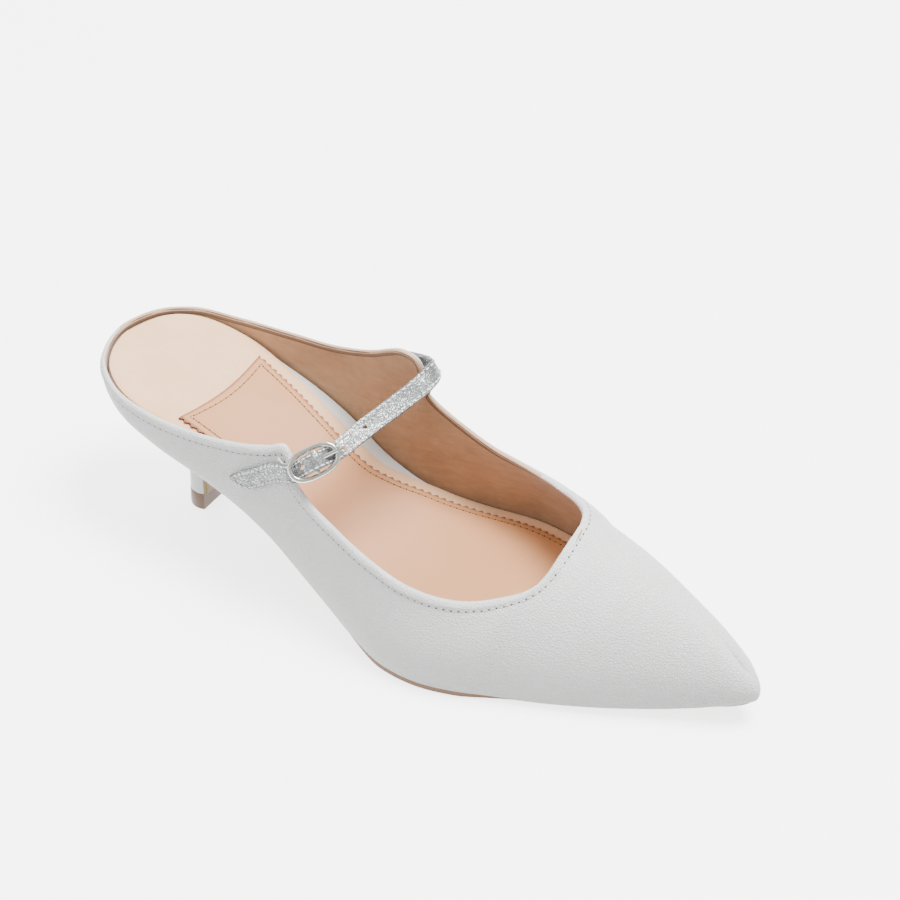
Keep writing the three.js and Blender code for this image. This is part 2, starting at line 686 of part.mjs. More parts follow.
// Ribbon with a rectangular section along a smooth path of stations. Each station has its
// place, its share of the width, and either the way across or the way its face looks.
function ribbon(stations, width, thickness, steps) {
  const path = new THREE.CatmullRomCurve3(stations.map((s) => s.at), false, 'centripetal');
  const last = stations.length - 1;
  const acrossAt = stations.map((s, k) => {
    if (s.across) return s.across.clone();
    return new THREE.Vector3().crossVectors(s.face, path.getTangent(k / last)).normalize();
  });
  const rings = [];
  for (let i = 0; i <= steps; i += 1) {
    const t = i / steps;
    const k = Math.min(Math.floor(t * last), last - 1);
    const local = t * last - k;
    const along = path.getTangent(t);
    const across = acrossAt[k].clone().lerp(acrossAt[k + 1], local);
    across.addScaledVector(along, -across.dot(along)).normalize();
    const out = new THREE.Vector3().crossVectors(along, across);
    const centre = path.getPoint(t);
    const half = (width / 2) * THREE.MathUtils.lerp(stations[k].wide, stations[k + 1].wide, local);
    const corner = (a, o) => centre.clone().addScaledVector(across, a * half).addScaledVector(out, o * thickness / 2);
    rings.push([corner(-1, -1), corner(1, -1), corner(1, 1), corner(-1, 1)]);
  }
  return loft(rings);
}

// Round tube through the points of a closed planar outline
function ringTube(points, normal, radius, sides) {
  const count = points.length;
  return loft(points.map((point, i) => {
    const along = points[(i + 1) % count].clone().sub(points[(i + count - 1) % count]).normalize();
    const out = new THREE.Vector3().crossVectors(along, normal).normalize();
    return circleAt(point, out, normal, radius, sides);
  }), 'joined');
}

function circleAt(centre, first, second, radius, sides) {
  return Array.from({ length: sides }, (_, k) => {
    const angle = (2 * Math.PI * k) / sides;
    return centre.clone()
      .addScaledVector(first, radius * Math.cos(angle))
      .addScaledVector(second, radius * Math.sin(angle));
  });
}

// Buckle place: its centre and its own axes, along the strap, across it and out of it
const STRAP_ROOT = bottomHeight(0.352 * LENGTH);
const BUCKLE_AT = new THREE.Vector3(0.395 * LENGTH, -0.329 * BALL_WIDTH, STRAP_ROOT + 0.748 * INSTEP_HEIGHT);
const BUCKLE_OUT = new THREE.Vector3(0.40, -0.62, 0.68).normalize();
const BUCKLE_ACROSS = new THREE.Vector3().crossVectors(BUCKLE_OUT, new THREE.Vector3(0.55, 0.80, 0.26)).normalize();
const BUCKLE_ALONG = new THREE.Vector3().crossVectors(BUCKLE_ACROSS, BUCKLE_OUT).normalize();
const BAR_LIFT = BAR_DIAMETER / 2 + 2 * GAP + LOOP_THICKNESS + STRAP_THICKNESS / 2;
const ARC_DROP = BUCKLE_WIRE / 2 + GAP + STRAP_THICKNESS / 2;
const ARC_AT = (BUCKLE_LENGTH - BUCKLE_WIRE) / 2;

function atBuckle(along, across, out) {
  return BUCKLE_AT.clone()
    .addScaledVector(BUCKLE_ALONG, along)
    .addScaledVector(BUCKLE_ACROSS, across)
    .addScaledVector(BUCKLE_OUT, out);
}

// Stations on the outside of the upper, over the instep, and at the buckle
function onSkin(side, row, w, lift = GAP + STRAP_THICKNESS / 2, wide = 1) {
  const at = skinPoint(side, row, w, -lift);
  const face = at.clone().sub(skinPoint(side, row, w, 0)).normalize();
  return { at, face, wide };
}

// Column at is a share of LENGTH, side of BALL_WIDTH, rise of INSTEP_HEIGHT over the strap's root
function overFoot(at, side, rise, face) {
  const place = new THREE.Vector3(at * LENGTH, side * BALL_WIDTH, STRAP_ROOT + rise * INSTEP_HEIGHT);
  return { at: place, face: new THREE.Vector3(...face), wide: 1 };
}

// Extra room under the flat strap where the side is curved across it
const STRAP_EASE = 0.25;

function underArc(along, out, wide) {
  return { at: atBuckle(along, 0, out), face: BUCKLE_OUT.clone(), wide };
}

function strapStations() {
  const lift = GAP + STRAP_THICKNESS / 2;
  const overLoop = lift + LOOP_THICKNESS + GAP;
  return [
    onSkin(MEDIAL, 16.0, 0.80, lift + STRAP_EASE),
    onSkin(MEDIAL, 15.4, 0.83, lift + STRAP_EASE),
    onSkin(MEDIAL, 14.9, 0.86, lift + STRAP_EASE),
    onSkin(MEDIAL, 14.4, 0.89, lift + STRAP_EASE),
    overFoot(0.454, 0.322, 0.965, [0.7, 0.6, 0.4]),
    overFoot(0.458, 0.240, 0.946, [0.5, 0, 0.85]),
    overFoot(0.443, 0.104, 0.880, [0.35, -0.25, 0.9]),
    { ...overFoot(0.423, -0.071, 0.812, [0.3, -0.3, 0.9]), punched: true },
    underArc(ARC_AT, -ARC_DROP - STRAP_EASE, 0.88),
    underArc(0.72 * ARC_AT, -ARC_DROP - STRAP_EASE, 0.85),
    underArc(0.36 * ARC_AT, 0.60 * BAR_LIFT, 0.88),
    underArc(0, BAR_LIFT, 0.88),
    underArc(-0.36 * ARC_AT, 0.60 * BAR_LIFT, 0.88),
    underArc(-0.72 * ARC_AT, -ARC_DROP - STRAP_EASE, 0.85),
    underArc(-ARC_AT, -ARC_DROP - 2 * STRAP_EASE, 0.9),
    onSkin(LATERAL, 14.9, 0.79, overLoop + STRAP_EASE),
    onSkin(LATERAL, 15.6, 0.74, lift + 2 * STRAP_EASE),
    onSkin(LATERAL, 16.15, 0.69, lift + STRAP_EASE),
    onSkin(LATERAL, 16.6, 0.60, lift + STRAP_EASE),
    onSkin(LATERAL, 17.0, 0.575, lift + STRAP_EASE, 0.15),
  ];
}

// Punched holes of the strap beyond the one that holds the prong
function punchSolid() {
  const stations = strapStations();
  const places = [
    { at: atBuckle(ARC_AT + 1.6 * BUCKLE_WIRE, 0, -ARC_DROP), face: BUCKLE_OUT.clone() },
    { at: atBuckle(-0.5 * ARC_AT, 0, 0), face: BUCKLE_OUT.clone() },
    stations.find((station) => station.punched),
  ];
  return places.map(({ at, face }) => {
    const first = new THREE.Vector3().crossVectors(face.clone().normalize(), BUCKLE_ALONG).normalize();
    const second = new THREE.Vector3().crossVectors(face, first).normalize();
    const ends = [-2, 2].map((share) => at.clone().addScaledVector(face, share * STRAP_THICKNESS));
    return toSolid(loft(ends.map((end) => circleAt(end, first, second, PUNCH_DIAMETER / 2, 10))));
  }).reduce((all, one) => all.add(one));
}

// Prong: a ring round the bar and a straight pin that rests on the arc
function prongSolid(grow = 0) {
  const ringRadius = BAR_DIAMETER / 2 + GAP + PRONG_DIAMETER / 2;
  const wire = PRONG_DIAMETER / 2 + grow;
  const ring = Array.from({ length: 16 }, (_, i) => {
    const angle = (2 * Math.PI * i) / 16;
    return atBuckle(ringRadius * Math.cos(angle), 0, ringRadius * Math.sin(angle));
  });
  const rest = BUCKLE_WIRE / 2 + GAP + PRONG_DIAMETER / 2;
  const start = atBuckle(0, 0, ringRadius);
  const end = atBuckle(ARC_AT + 0.6 + grow, 0, rest);
  const along = end.clone().sub(start).normalize();
  const out = new THREE.Vector3().crossVectors(along, BUCKLE_ACROSS).normalize();
  const pin = loft([
    circleAt(start, BUCKLE_ACROSS, out, wire, 10),
    circleAt(end.clone().addScaledVector(along, -1), BUCKLE_ACROSS, out, wire, 10),
    circleAt(end, BUCKLE_ACROSS, out, wire * 0.6, 10),
  ]);
  return toSolid(ringTube(ring, BUCKLE_ACROSS, wire, 10)).add(toSolid(pin));
}

// Buckle: an oval frame with a bar across its middle
function buckleSolid() {
  const halfLength = (BUCKLE_LENGTH - BUCKLE_WIRE) / 2;
  const halfWidth = (BUCKLE_WIDTH - BUCKLE_WIRE) / 2;
  const soften = (value) => Math.sign(value) * Math.abs(value) ** 0.8;
  const outline = Array.from({ length: 32 }, (_, i) => {
    const angle = (2 * Math.PI * i) / 32;
    return atBuckle(halfLength * soften(Math.cos(angle)), halfWidth * soften(Math.sin(angle)), 0);
  });
  const bar = loft([-halfWidth, halfWidth].map((across) => (
    circleAt(atBuckle(0, across, 0), BUCKLE_ALONG, BUCKLE_OUT, BAR_DIAMETER / 2, 12)
  )));
  return toSolid(ringTube(outline, BUCKLE_OUT, BUCKLE_WIRE / 2, 10)).add(toSolid(bar));
}

// Buckle loop: the leather that runs round the bar and back down onto the side
function loopSolid() {
  const radius = BAR_DIAMETER / 2 + GAP + LOOP_THICKNESS / 2;
  const turn = (along, out) => ({ at: atBuckle(along, 0, out), across: BUCKLE_ACROSS.clone(), wide: 1 });
  const stations = [
    onSkin(LATERAL, 14.9, 0.86, GAP + LOOP_THICKNESS / 2 + STRAP_EASE),
    onSkin(LATERAL, 14.3, 0.88, GAP + LOOP_THICKNESS / 2 + STRAP_EASE),
    turn(-0.70 * ARC_AT, -2.0 * ARC_DROP),
    turn(-0.47 * ARC_AT, -1.55 * ARC_DROP),
    turn(0, -radius),
    turn(0.71 * radius, -0.71 * radius),
    turn(radius, 0),
    turn(0.71 * radius, 0.71 * radius),
    turn(0, radius),
    turn(-0.9 * radius, 0.6 * radius),
    turn(-1.9 * radius, -0.05 * radius),
  ];
  const slot = PRONG_DIAMETER + 2 * GAP;
  const reach = 4;
  const cut = loft([-slot / 2, slot / 2].map((across) => [
    atBuckle(-reach, across, -reach),
    atBuckle(reach, across, -reach),
    atBuckle(reach, across, reach),
    atBuckle(-reach, across, reach),
  ]));
  return toSolid(ribbon(stations, LOOP_WIDTH, LOOP_THICKNESS, 48)).subtract(toSolid(cut));
}

const shoe = new THREE.Group();

function addPiece(name, geometry, color, roughness, metalness = 0) {
  const material = new THREE.MeshStandardMaterial({ color, roughness, metalness });
  const mesh = new THREE.Mesh(geometry, material);
  mesh.name = name;
  shoe.add(mesh);
  return mesh;
}

addPiece('upper', upperGeometry(), 0xe6e8e4, 0.45);
addPiece('footbed', footbedGeometry(), 0xf0f1ec, 0.5);
addPiece('sock', sockGeometry(), 0xf0d8c3, 0.85);
addPiece('sock_pad', padGeometry(), 0xdeb496, 0.55);
addPiece('outsole', outsoleGeometry(), 0x9a6c3c, 0.6);
addPiece('heel', heelGeometry(), 0xe6e8e4, 0.45);
addPiece('top_piece', topPieceGeometry(), 0x6c4214, 0.5);
addPiece('breast_cover', breastGeometry(), 0x947f48, 0.5);
const strapSolid = toSolid(ribbon(strapStations(), STRAP_WIDTH, STRAP_THICKNESS, 90));
addPiece('strap', fromSolid(strapSolid.subtract(prongSolid(GAP)).subtract(punchSolid())), 0xb4b9b8, 0.4);
addPiece('buckle', fromSolid(buckleSolid()), 0xc8cbc2, 0.25, 1);
addPiece('prong', fromSolid(prongSolid()), 0xc8cbc2, 0.25, 1);
addPiece('buckle_loop', fromSolid(loopSolid()), 0xe6e8e4, 0.45);

// The origin goes to the floor under the middle of the shoe
const reach = new THREE.Box3().setFromObject(shoe);
const middle = reach.getCenter(new THREE.Vector3());
for (const mesh of shoe.children) mesh.geometry.translate(-middle.x, -middle.y, -reach.min.z);

export default shoe;
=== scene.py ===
"""Looks of the pointed kitten-heel mule: leather, suede, glitter strap, buckle, heel and studio."""

import logging
import math
from dataclasses import dataclass
from enum import Enum
from typing import Callable, Sequence

import bmesh
import bpy
import numpy as np
from mathutils import Matrix, Vector
from mathutils.bvhtree import BVHTree


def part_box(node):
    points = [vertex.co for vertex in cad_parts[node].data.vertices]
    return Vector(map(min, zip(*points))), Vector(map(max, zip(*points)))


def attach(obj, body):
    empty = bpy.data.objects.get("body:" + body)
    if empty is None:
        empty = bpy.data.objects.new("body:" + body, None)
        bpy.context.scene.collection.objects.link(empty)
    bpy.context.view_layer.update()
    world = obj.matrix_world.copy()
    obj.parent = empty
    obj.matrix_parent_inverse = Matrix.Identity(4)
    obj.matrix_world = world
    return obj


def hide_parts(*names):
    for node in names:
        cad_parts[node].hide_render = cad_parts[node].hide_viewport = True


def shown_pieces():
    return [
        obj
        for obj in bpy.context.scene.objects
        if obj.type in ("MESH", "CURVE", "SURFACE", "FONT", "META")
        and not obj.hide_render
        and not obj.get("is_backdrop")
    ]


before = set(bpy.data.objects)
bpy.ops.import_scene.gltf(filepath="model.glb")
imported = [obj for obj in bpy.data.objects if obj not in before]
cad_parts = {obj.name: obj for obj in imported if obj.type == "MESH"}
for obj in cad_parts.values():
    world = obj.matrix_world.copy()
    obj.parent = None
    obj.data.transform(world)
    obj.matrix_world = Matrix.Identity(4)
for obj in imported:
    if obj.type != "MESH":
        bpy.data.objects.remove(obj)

logging.basicConfig(level=logging.INFO, format="%(message)s")
LOG = logging.getLogger("mule")
MM = 0.001


class Side(Enum):
    """The two sides of the foot, with the sign of their Y."""

    LATERAL = -1
    MEDIAL = 1


# Numbers and curves


def unit(vectors: np.ndarray) -> np.ndarray:
    """Scale vectors to length one.

    Args:
        vectors: Vectors along the last axis.

    Returns:
        The same vectors with length one.
    """
    lengths = np.linalg.norm(vectors, axis=-1, keepdims=True)
    return vectors / np.maximum(lengths, 1e-9)


def ease(value: np.ndarray, low: float, high: float) -> np.ndarray:
    """Smooth step from 0 at low to 1 at high.

    Args:
        value: Numbers to ease.
        low: Where the step starts.
        high: Where the step ends.

    Returns:
        Numbers from 0 to 1.
    """
    t = np.clip((np.asarray(value, float) - low) / (high - low), 0.0, 1.0)
    return t * t * (3 - 2 * t)


def monotone(xs: Sequence[float], ys: Sequence[float], x: np.ndarray) -> np.ndarray:
    """Monotone cubic through a table.

    Args:
        xs: Rising places.
        ys: Values at those places.
        x: Where to read the curve.

    Returns:
        The values at x.
    """
    xs, ys = np.asarray(xs, float), np.asarray(ys, float)
    x = np.clip(np.asarray(x, float), xs[0], xs[-1])
    slopes = np.diff(ys) / np.diff(xs)
    tangents = np.zeros(len(xs))
    tangents[0], tangents[-1] = slopes[0], slopes[-1]
    before, after = slopes[:-1], slopes[1:]
    total = np.where(np.abs(before + after) < 1e-12, 1.0, before + after)
    tangents[1:-1] = np.where(before * after <= 0, 0.0, 2 * before * after / total)
    i = np.clip(np.searchsorted(xs, x, side="left") - 1, 0, len(xs) - 2)
    h = xs[i + 1] - xs[i]
    t = (x - xs[i]) / h
    base = ys[i] + t * t * (3 - 2 * t) * (ys[i + 1] - ys[i])
    return base + h * t * (1 - t) * ((1 - t) * tangents[i] - t * tangents[i + 1])


@dataclass
class Spline:
    """Centripetal curve through points, open or closed."""

    points: np.ndarray
    closed: bool = False

    def at(self, t: np.ndarray) -> np.ndarray:
        """Read the curve.

        Args:
            t: Shares of the curve from 0 to 1.

        Returns:
            One point for each share.
        """
        p = np.asarray(self.points, float)
        count = len(p)
        place = np.clip(np.asarray(t, float), 0.0, 1.0) * (count if self.closed else count - 1)
        i = np.floor(place).astype(int)
        w = place - i
        if self.closed:
            i = i % count
            p0, p1, p2, p3 = (p[(i + k) % count] for k in (-1, 0, 1, 2))
        else:
            past = i >= count - 1
            i = np.where(past, count - 2, i)
            w = np.where(past, 1.0, w)
            ext = np.vstack([2 * p[0] - p[1], p, 2 * p[-1] - p[-2]])
            p0, p1, p2, p3 = (ext[i + k] for k in (0, 1, 2, 3))
        pairs = ((p0, p1), (p1, p2), (p2, p3))
        d0, d1, d2 = (np.sqrt(np.linalg.norm(b - a, axis=-1))[..., None] for a, b in pairs)
        d1 = np.where(d1 < 1e-4, 1.0, d1)
        d0 = np.where(d0 < 1e-4, d1, d0)
        d2 = np.where(d2 < 1e-4, d1, d2)
        t1 = ((p1 - p0) / d0 - (p2 - p0) / (d0 + d1) + (p2 - p1) / d1) * d1
        t2 = ((p2 - p1) / d1 - (p3 - p1) / (d1 + d2) + (p3 - p2) / d2) * d1
        w = w[..., None]
        return p1 + t1 * w + (3 * (p2 - p1) - 2 * t1 - t2) * w**2 + (2 * (p1 - p2) + t1 + t2) * w**3

    def tangent(self, t: np.ndarray) -> np.ndarray:
        """Directions of the curve at shares t."""
        step = 1e-4
        t = np.asarray(t, float)
        if self.closed:
            return unit(self.at((t + step) % 1) - self.at((t - step) % 1))
        return unit(self.at(np.minimum(t + step, 1)) - self.at(np.maximum(t - step, 0)))


# The last: the form that the whole shoe is worked out from


@dataclass
class Last:
    """Sizes in millimetres and rows of sections from the toe tip (0) to the heel back (22)."""

    length: float = 250.0
    ball_width: float = 77.0
    instep_height: float = 60.0
    seat_height: float = 47.0
    toe_spring: float = 8.5
    belly: float = 4.0
    wall: float = 1.8
    gap: float = 0.3
    bed_ease: float = 0.2
    sole_thickness: float = 1.7
    bed_rise: float = 11.0
    throat: int = 5
    last_row: int = 22
    spine_margin: float = 0.06
    lift_back: float = 28.8
    # at, lateral, medial, seat, spring
    feather_rows: tuple = (
        (1.000, 0.065, 0.065, 0.000, 0.85), (0.984, 0.006, 0.121, 0.000, 0.76),
        (0.944, -0.061, 0.191, 0.000, 0.52), (0.880, -0.168, 0.272, 0.000, 0.25),
        (0.808, -0.282, 0.364, 0.000, 0.08), (0.736, -0.380, 0.438, 0.000, 0.00),
        (0.688, -0.437, 0.470, 0.000, 0.00), (0.640, -0.498, 0.496, 0.000, 0.00),
        (0.592, -0.533, 0.500, 0.000, 0.00), (0.536, -0.527, 0.462, 0.010, 0.00),
        (0.480, -0.471, 0.408, 0.055, 0.00), (0.428, -0.409, 0.356, 0.132, 0.00),
        (0.392, -0.379, 0.330, 0.219, 0.00), (0.368, -0.362, 0.319, 0.285, 0.00),
        (0.352, -0.353, 0.314, 0.336, 0.00), (0.336, -0.344, 0.312, 0.387, 0.00),
        (0.312, -0.335, 0.311, 0.460, 0.00), (0.264, -0.327, 0.313, 0.585, 0.00),
        (0.200, -0.326, 0.318, 0.715, 0.00), (0.128, -0.319, 0.319, 0.821, 0.00),
        (0.064, -0.277, 0.277, 0.911, 0.00), (0.022, -0.175, 0.175, 0.970, 0.00),
        (0.000, 0.000, 0.000, 1.000, 0.00),
    )
    # at, side, rise
    ridge_rows: tuple = (
        (0.976, 0.065, 0.170), (0.956, 0.070, 0.268), (0.916, 0.082, 0.420),
        (0.860, 0.098, 0.578), (0.796, 0.112, 0.700), (0.720, 0.118, 0.782),
    )
    # at, side, rise, lean
    lateral_topline: tuple = (
        (0.715, -0.200, 0.640, 70), (0.681, -0.318, 0.573, 50), (0.632, -0.413, 0.533, 32),
        (0.566, -0.462, 0.540, 17), (0.500, -0.455, 0.573, 9), (0.440, -0.418, 0.582, 6),
        (0.392, -0.380, 0.580, 7), (0.366, -0.358, 0.625, 9), (0.360, -0.338, 0.690, 12),
        (0.345, -0.325, 0.715, 12), (0.320, -0.334, 0.612, 7), (0.272, -0.351, 0.458, 0),
        (0.200, -0.356, 0.312, -4), (0.124, -0.345, 0.218, -4), (0.058, -0.299, 0.175, -4),
        (0.014, -0.188, 0.173, -2),
    )
    medial_topline: tuple = (
        (0.700, 0.236, 0.768, 78), (0.652, 0.326, 0.735, 55), (0.596, 0.380, 0.715, 30),
        (0.536, 0.397, 0.725, 12), (0.488, 0.384, 0.780, 4), (0.450, 0.357, 0.842, 4),
        (0.440, 0.331, 0.860, 8), (0.444, 0.300, 0.945, 16), (0.438, 0.273, 1.035, 26),
        (0.414, 0.273, 1.016, 22), (0.352, 0.325, 0.800, 6), (0.288, 0.355, 0.600, 0),
        (0.216, 0.361, 0.458, -4), (0.132, 0.351, 0.348, -4), (0.066, 0.305, 0.282, -4),
        (0.022, 0.195, 0.235, -2),
    )
    heel_top: tuple = (0.000, 0.0, 0.200, 0)
    # row, lateral, medial
    bed_rows: tuple = (
        (0, 0.42, 0.42), (3, 0.45, 0.72), (5, 0.55, 1.06), (8, 0.62, 1.18),
        (10, 0.72, 1.20), (12, 0.82, 1.50), (15, 0.92, 1.74), (17, 1.02, 1.62),
        (18, 1.05, 1.52), (19, 0.97, 1.56), (20, 0.80, 1.43), (21, 0.74, 1.23),
        (22, 1.03, 1.03),
    )

    def __post_init__(self) -> None:
        """Build the curves and find where the last stands in the frame."""
        rows = np.array(self.feather_rows)
        foot_z = self.sole_thickness + self.gap + rows[:, 3] * self.seat_height + rows[:, 4] * self.toe_spring
        self.bottom_x = (rows[:, 0] * self.length)[::-1]
        self.bottom_z = foot_z[::-1]
        lateral = np.column_stack([rows[:, 0] * self.length, rows[:, 1] * self.ball_width, foot_z])
        medial = np.column_stack([rows[:, 0] * self.length, rows[:, 2] * self.ball_width, foot_z])
        self.feather_loop = Spline(np.vstack([lateral, medial[1:-1][::-1]]), closed=True)

        def top(row: Sequence[float], index: int) -> list[float]:
            """Place of one topline row."""
            rise = foot_z[index] + row[2] * self.instep_height
            return [row[0] * self.length, row[1] * self.ball_width, rise]

        ridge = [top(row, i) for i, row in enumerate(self.ridge_rows)]
        first = self.throat + 1
        loop = [ridge[-1]]
        loop += [top(row, first + i) for i, row in enumerate(self.lateral_topline)]
        loop += [top(self.heel_top, self.last_row)]
        loop += [top(row, first + i) for i, row in enumerate(self.medial_topline)][::-1]
        self.ridge = Spline(np.array(ridge))
        self.topline = Spline(np.array(loop), closed=True)
        self.bed_x = np.array([self.feather_rows[row[0]][0] * self.length for row in self.bed_rows])[::-1]
        self.bed_lateral = np.array([row[1] * self.bed_rise for row in self.bed_rows])[::-1]
        self.bed_medial = np.array([row[2] * self.bed_rise for row in self.bed_rows])[::-1]
        low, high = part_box("top_piece")
        self.origin = np.array([self.lift_back - low.x / MM, -(low.y + high.y) / 2 / MM, 0.0])

    def place(self, points: np.ndarray) -> np.ndarray:
        """Points of the last, in millimetres, as places in the frame, in metres."""
        return (np.asarray(points, float) - self.origin) * MM

    def bottom(self, x: np.ndarray) -> np.ndarray:
        """Height of the bottom edge at distances x from the heel back."""
        return monotone(self.bottom_x, self.bottom_z, x)

    def bed(self, x: np.ndarray, y: np.ndarray) -> np.ndarray:
        """Height of the footbed's surface at x, y."""
        bank = ease(y, -0.4 * self.ball_width, 0.4 * self.ball_width)
        low, high = monotone(self.bed_x, self.bed_lateral, x), monotone(self.bed_x, self.bed_medial, x)
        return self.bottom(x) + low + (high - low) * bank

    def feather(self, side: Side, rows: np.ndarray) -> np.ndarray:
        """Bottom edge of one side at fractional rows."""
        t = np.asarray(rows, float) / (2 * self.last_row)
        point = self.feather_loop.at(t if side is Side.LATERAL else (1 - t) % 1)
        point[..., 2] = self.bottom(point[..., 0])
        return point

    def inward(self, side: Side, rows: np.ndarray) -> np.ndarray:
        """Level direction from the bottom edge into the shoe."""
        step = 0.02
        rows = np.asarray(rows, float)
        along = self.feather(side, np.minimum(rows + step, self.last_row))
        along = along - self.feather(side, np.maximum(rows - step, 0))
        along[..., 2] = 0
        along[rows < step] = (0, side.value, 0)
        along[rows > self.last_row - step] = (0, -side.value, 0)
        along = unit(along)
        return np.stack([-along[..., 1] * side.value, along[..., 0] * side.value, 0 * along[..., 0]], -1)

    def top(self, side: Side, rows: np.ndarray) -> np.ndarray:
        """Ridge or topline of one side at fractional rows."""
        rows = np.asarray(rows, float)
        t = np.clip((rows - self.throat) / (2 * (self.last_row - self.throat)), 0, 0.5)
        rim = self.topline.at(t if side is Side.LATERAL else (1 - t) % 1)
        crest = self.ridge.at(np.clip(rows / self.throat, 0, 1))
        return np.where((rows <= self.throat)[..., None], crest, rim)

    def lean(self, side: Side, rows: np.ndarray) -> np.ndarray:
        """Angle of the wall at its top, in radians, 0 upright."""
        table = self.lateral_topline if side is Side.LATERAL else self.medial_topline
        places = [0, self.throat, *range(self.throat + 1, self.throat + 1 + len(table)), self.last_row]
        angles = [88, 88, *(row[3] for row in table), self.heel_top[3]]
        return np.radians(monotone(places, angles, rows))

    def outer(self, side: Side, rows: np.ndarray, ws: np.ndarray) -> np.ndarray:
        """Outer surface of the upper.

        Args:
            side: Which side of the foot.
            rows: Fractional rows.
            ws: Shares of each section, from the bottom edge 0 to the top 1.

        Returns:
            Points for every row and share.
        """
        rows, ws = np.asarray(rows, float), np.asarray(ws, float)
        if ws.ndim == 1:
            ws = np.broadcast_to(ws, (len(rows), len(ws)))
        foot, top, inward = self.feather(side, rows), self.top(side, rows), self.inward(side, rows)
        rise = (top[:, 2] - foot[:, 2])[:, None]
        across = top - foot
        across[:, 2] = 0
        reach = np.linalg.norm(across, axis=1)[:, None]
        lean = self.lean(side, rows)[:, None]
        lying = np.maximum(0, np.sin(lean))
        crest = unit(unit(across) * lying + inward * (1 - lying))
        up = np.array([0.0, 0.0, 1.0])
        swell = self.belly * np.minimum(1, rise / (0.3 * self.instep_height))
        lower = foot + up * (0.36 * rise + 0.20 * reach * lying) - inward * swell
        pull = 0.36 * rise * (1 - lying) + 0.55 * reach * lying
        upper = top - crest * (np.sin(lean) * pull) - up * (np.cos(lean) * pull)
        w = ws[..., None]
        parts = (foot, (1 - w) ** 3), (lower, 3 * w * (1 - w) ** 2), (upper, 3 * w * w * (1 - w)), (top, w**3)
        return sum(point[:, None, :] * share for point, share in parts)

    def skin(self, side: Side, rows: np.ndarray, ws: np.ndarray, depth: np.ndarray | float) -> np.ndarray:
        """Points under the outer surface, along its normal.

        Args:
            side: Which side of the foot.
            rows: Fractional rows.
            ws: Shares of each section.
            depth: Distance inwards in millimetres; a negative one lies outside.

        Returns:
            Points for every row and share.
        """
        rows, ws = np.asarray(rows, float), np.asarray(ws, float)
        if ws.ndim == 1:
            ws = np.broadcast_to(ws, (len(rows), len(ws)))
        here = self.outer(side, rows, ws)
        step, reach = 0.01, 0.05
        end = self.last_row
        ahead = self.outer(side, np.minimum(rows + reach, end), ws)
        along = ahead - self.outer(side, np.maximum(rows - reach, 0), ws)
        for mask, near, sign in ((rows < reach, reach, 1), (rows > end - reach, end - reach, -1)):
            if mask.any():
                level = np.full(int(mask.sum()), near)
                across = self.outer(Side.LATERAL, level, ws[mask]) - self.outer(Side.MEDIAL, level, ws[mask])
                along[mask] = across * (sign if side is Side.LATERAL else -sign)
        above = self.outer(side, rows, np.minimum(ws + step, 1))
        lift = above - self.outer(side, rows, np.maximum(ws - step, 0))
        normal = unit(np.cross(along, lift)) * (1 if side is Side.LATERAL else -1)
        crest = (rows <= self.throat)[:, None] & (ws > 1 - step)
        if crest.any():
            back = self.ridge.tangent(np.clip(rows / self.throat, 0, 1))
            flat = unit(np.stack([-back[:, 2], 0 * back[:, 0], back[:, 0]], -1))
            flat = np.where(flat[:, 2:3] > 0, -flat, flat)
            normal = np.where(crest[..., None], flat[:, None, :], normal)
        return here + normal * (np.asarray(depth, float)[..., None] if np.ndim(depth) else depth)

    def wall_share(self, side: Side, rows: np.ndarray, depth: float, height: Callable) -> np.ndarray:
        """Share of each section where the surface at a depth meets a height.

        Args:
            side: Which side of the foot.
            rows: Fractional rows.
            depth: Distance under the outer surface.
            height: Function of x and y that gives the height to meet.

        Returns:
            One share for each row.
        """
        low, high = np.zeros(len(rows)), np.ones(len(rows))
        for _ in range(14):
            middle = (low + high) / 2
            point = self.skin(side, rows, middle[:, None], depth)[:, 0]
            over = point[:, 2] > height(point[:, 0], point[:, 1])
            high, low = np.where(over, middle, high), np.where(over, low, middle)
        return (low + high) / 2

    def spine(self, rows: np.ndarray) -> np.ndarray:
        """Middle line of the bottom at fractional rows."""
        middle = (self.feather(Side.LATERAL, rows) + self.feather(Side.MEDIAL, rows)) / 2
        margin = self.spine_margin * self.length
        middle[:, 0] = np.clip(middle[:, 0], margin, self.length - margin)
        return middle

    def drawn_in(self, points: np.ndarray, rows: np.ndarray, inset: np.ndarray | float) -> np.ndarray:
        """Points moved level towards the spine by an inset."""
        inward = self.spine(rows) - points
        inward[:, 2] = 0
        length = np.linalg.norm(inward, axis=1, keepdims=True)
        inset = np.minimum(np.asarray(inset, float).reshape(-1, 1) * np.ones_like(length), 0.9 * length)
        return points + inward / np.maximum(length, 1e-9) * inset

    def bed_edge(self, side: Side, rows: np.ndarray, share: float = 1.0, drop: float = 0.0) -> np.ndarray:
        """Edge of the footbed against the inside of the wall.

        Args:
            side: Which side of the foot.
            rows: Fractional rows.
            share: Share of the footbed's height.
            drop: Distance below that height.

        Returns:
            One point for each row.
        """
        def height(x: np.ndarray, y: np.ndarray) -> np.ndarray:
            """Height of the footbed's edge at that share."""
            floor = self.bottom(x) + self.wall + self.gap
            return floor + (self.bed(x, y) - floor) * share - drop

        depth = self.wall + self.gap + self.bed_ease
        w = self.wall_share(side, rows, depth, height)
        return self.skin(side, rows, w[:, None], depth)[:, 0]


# Meshes


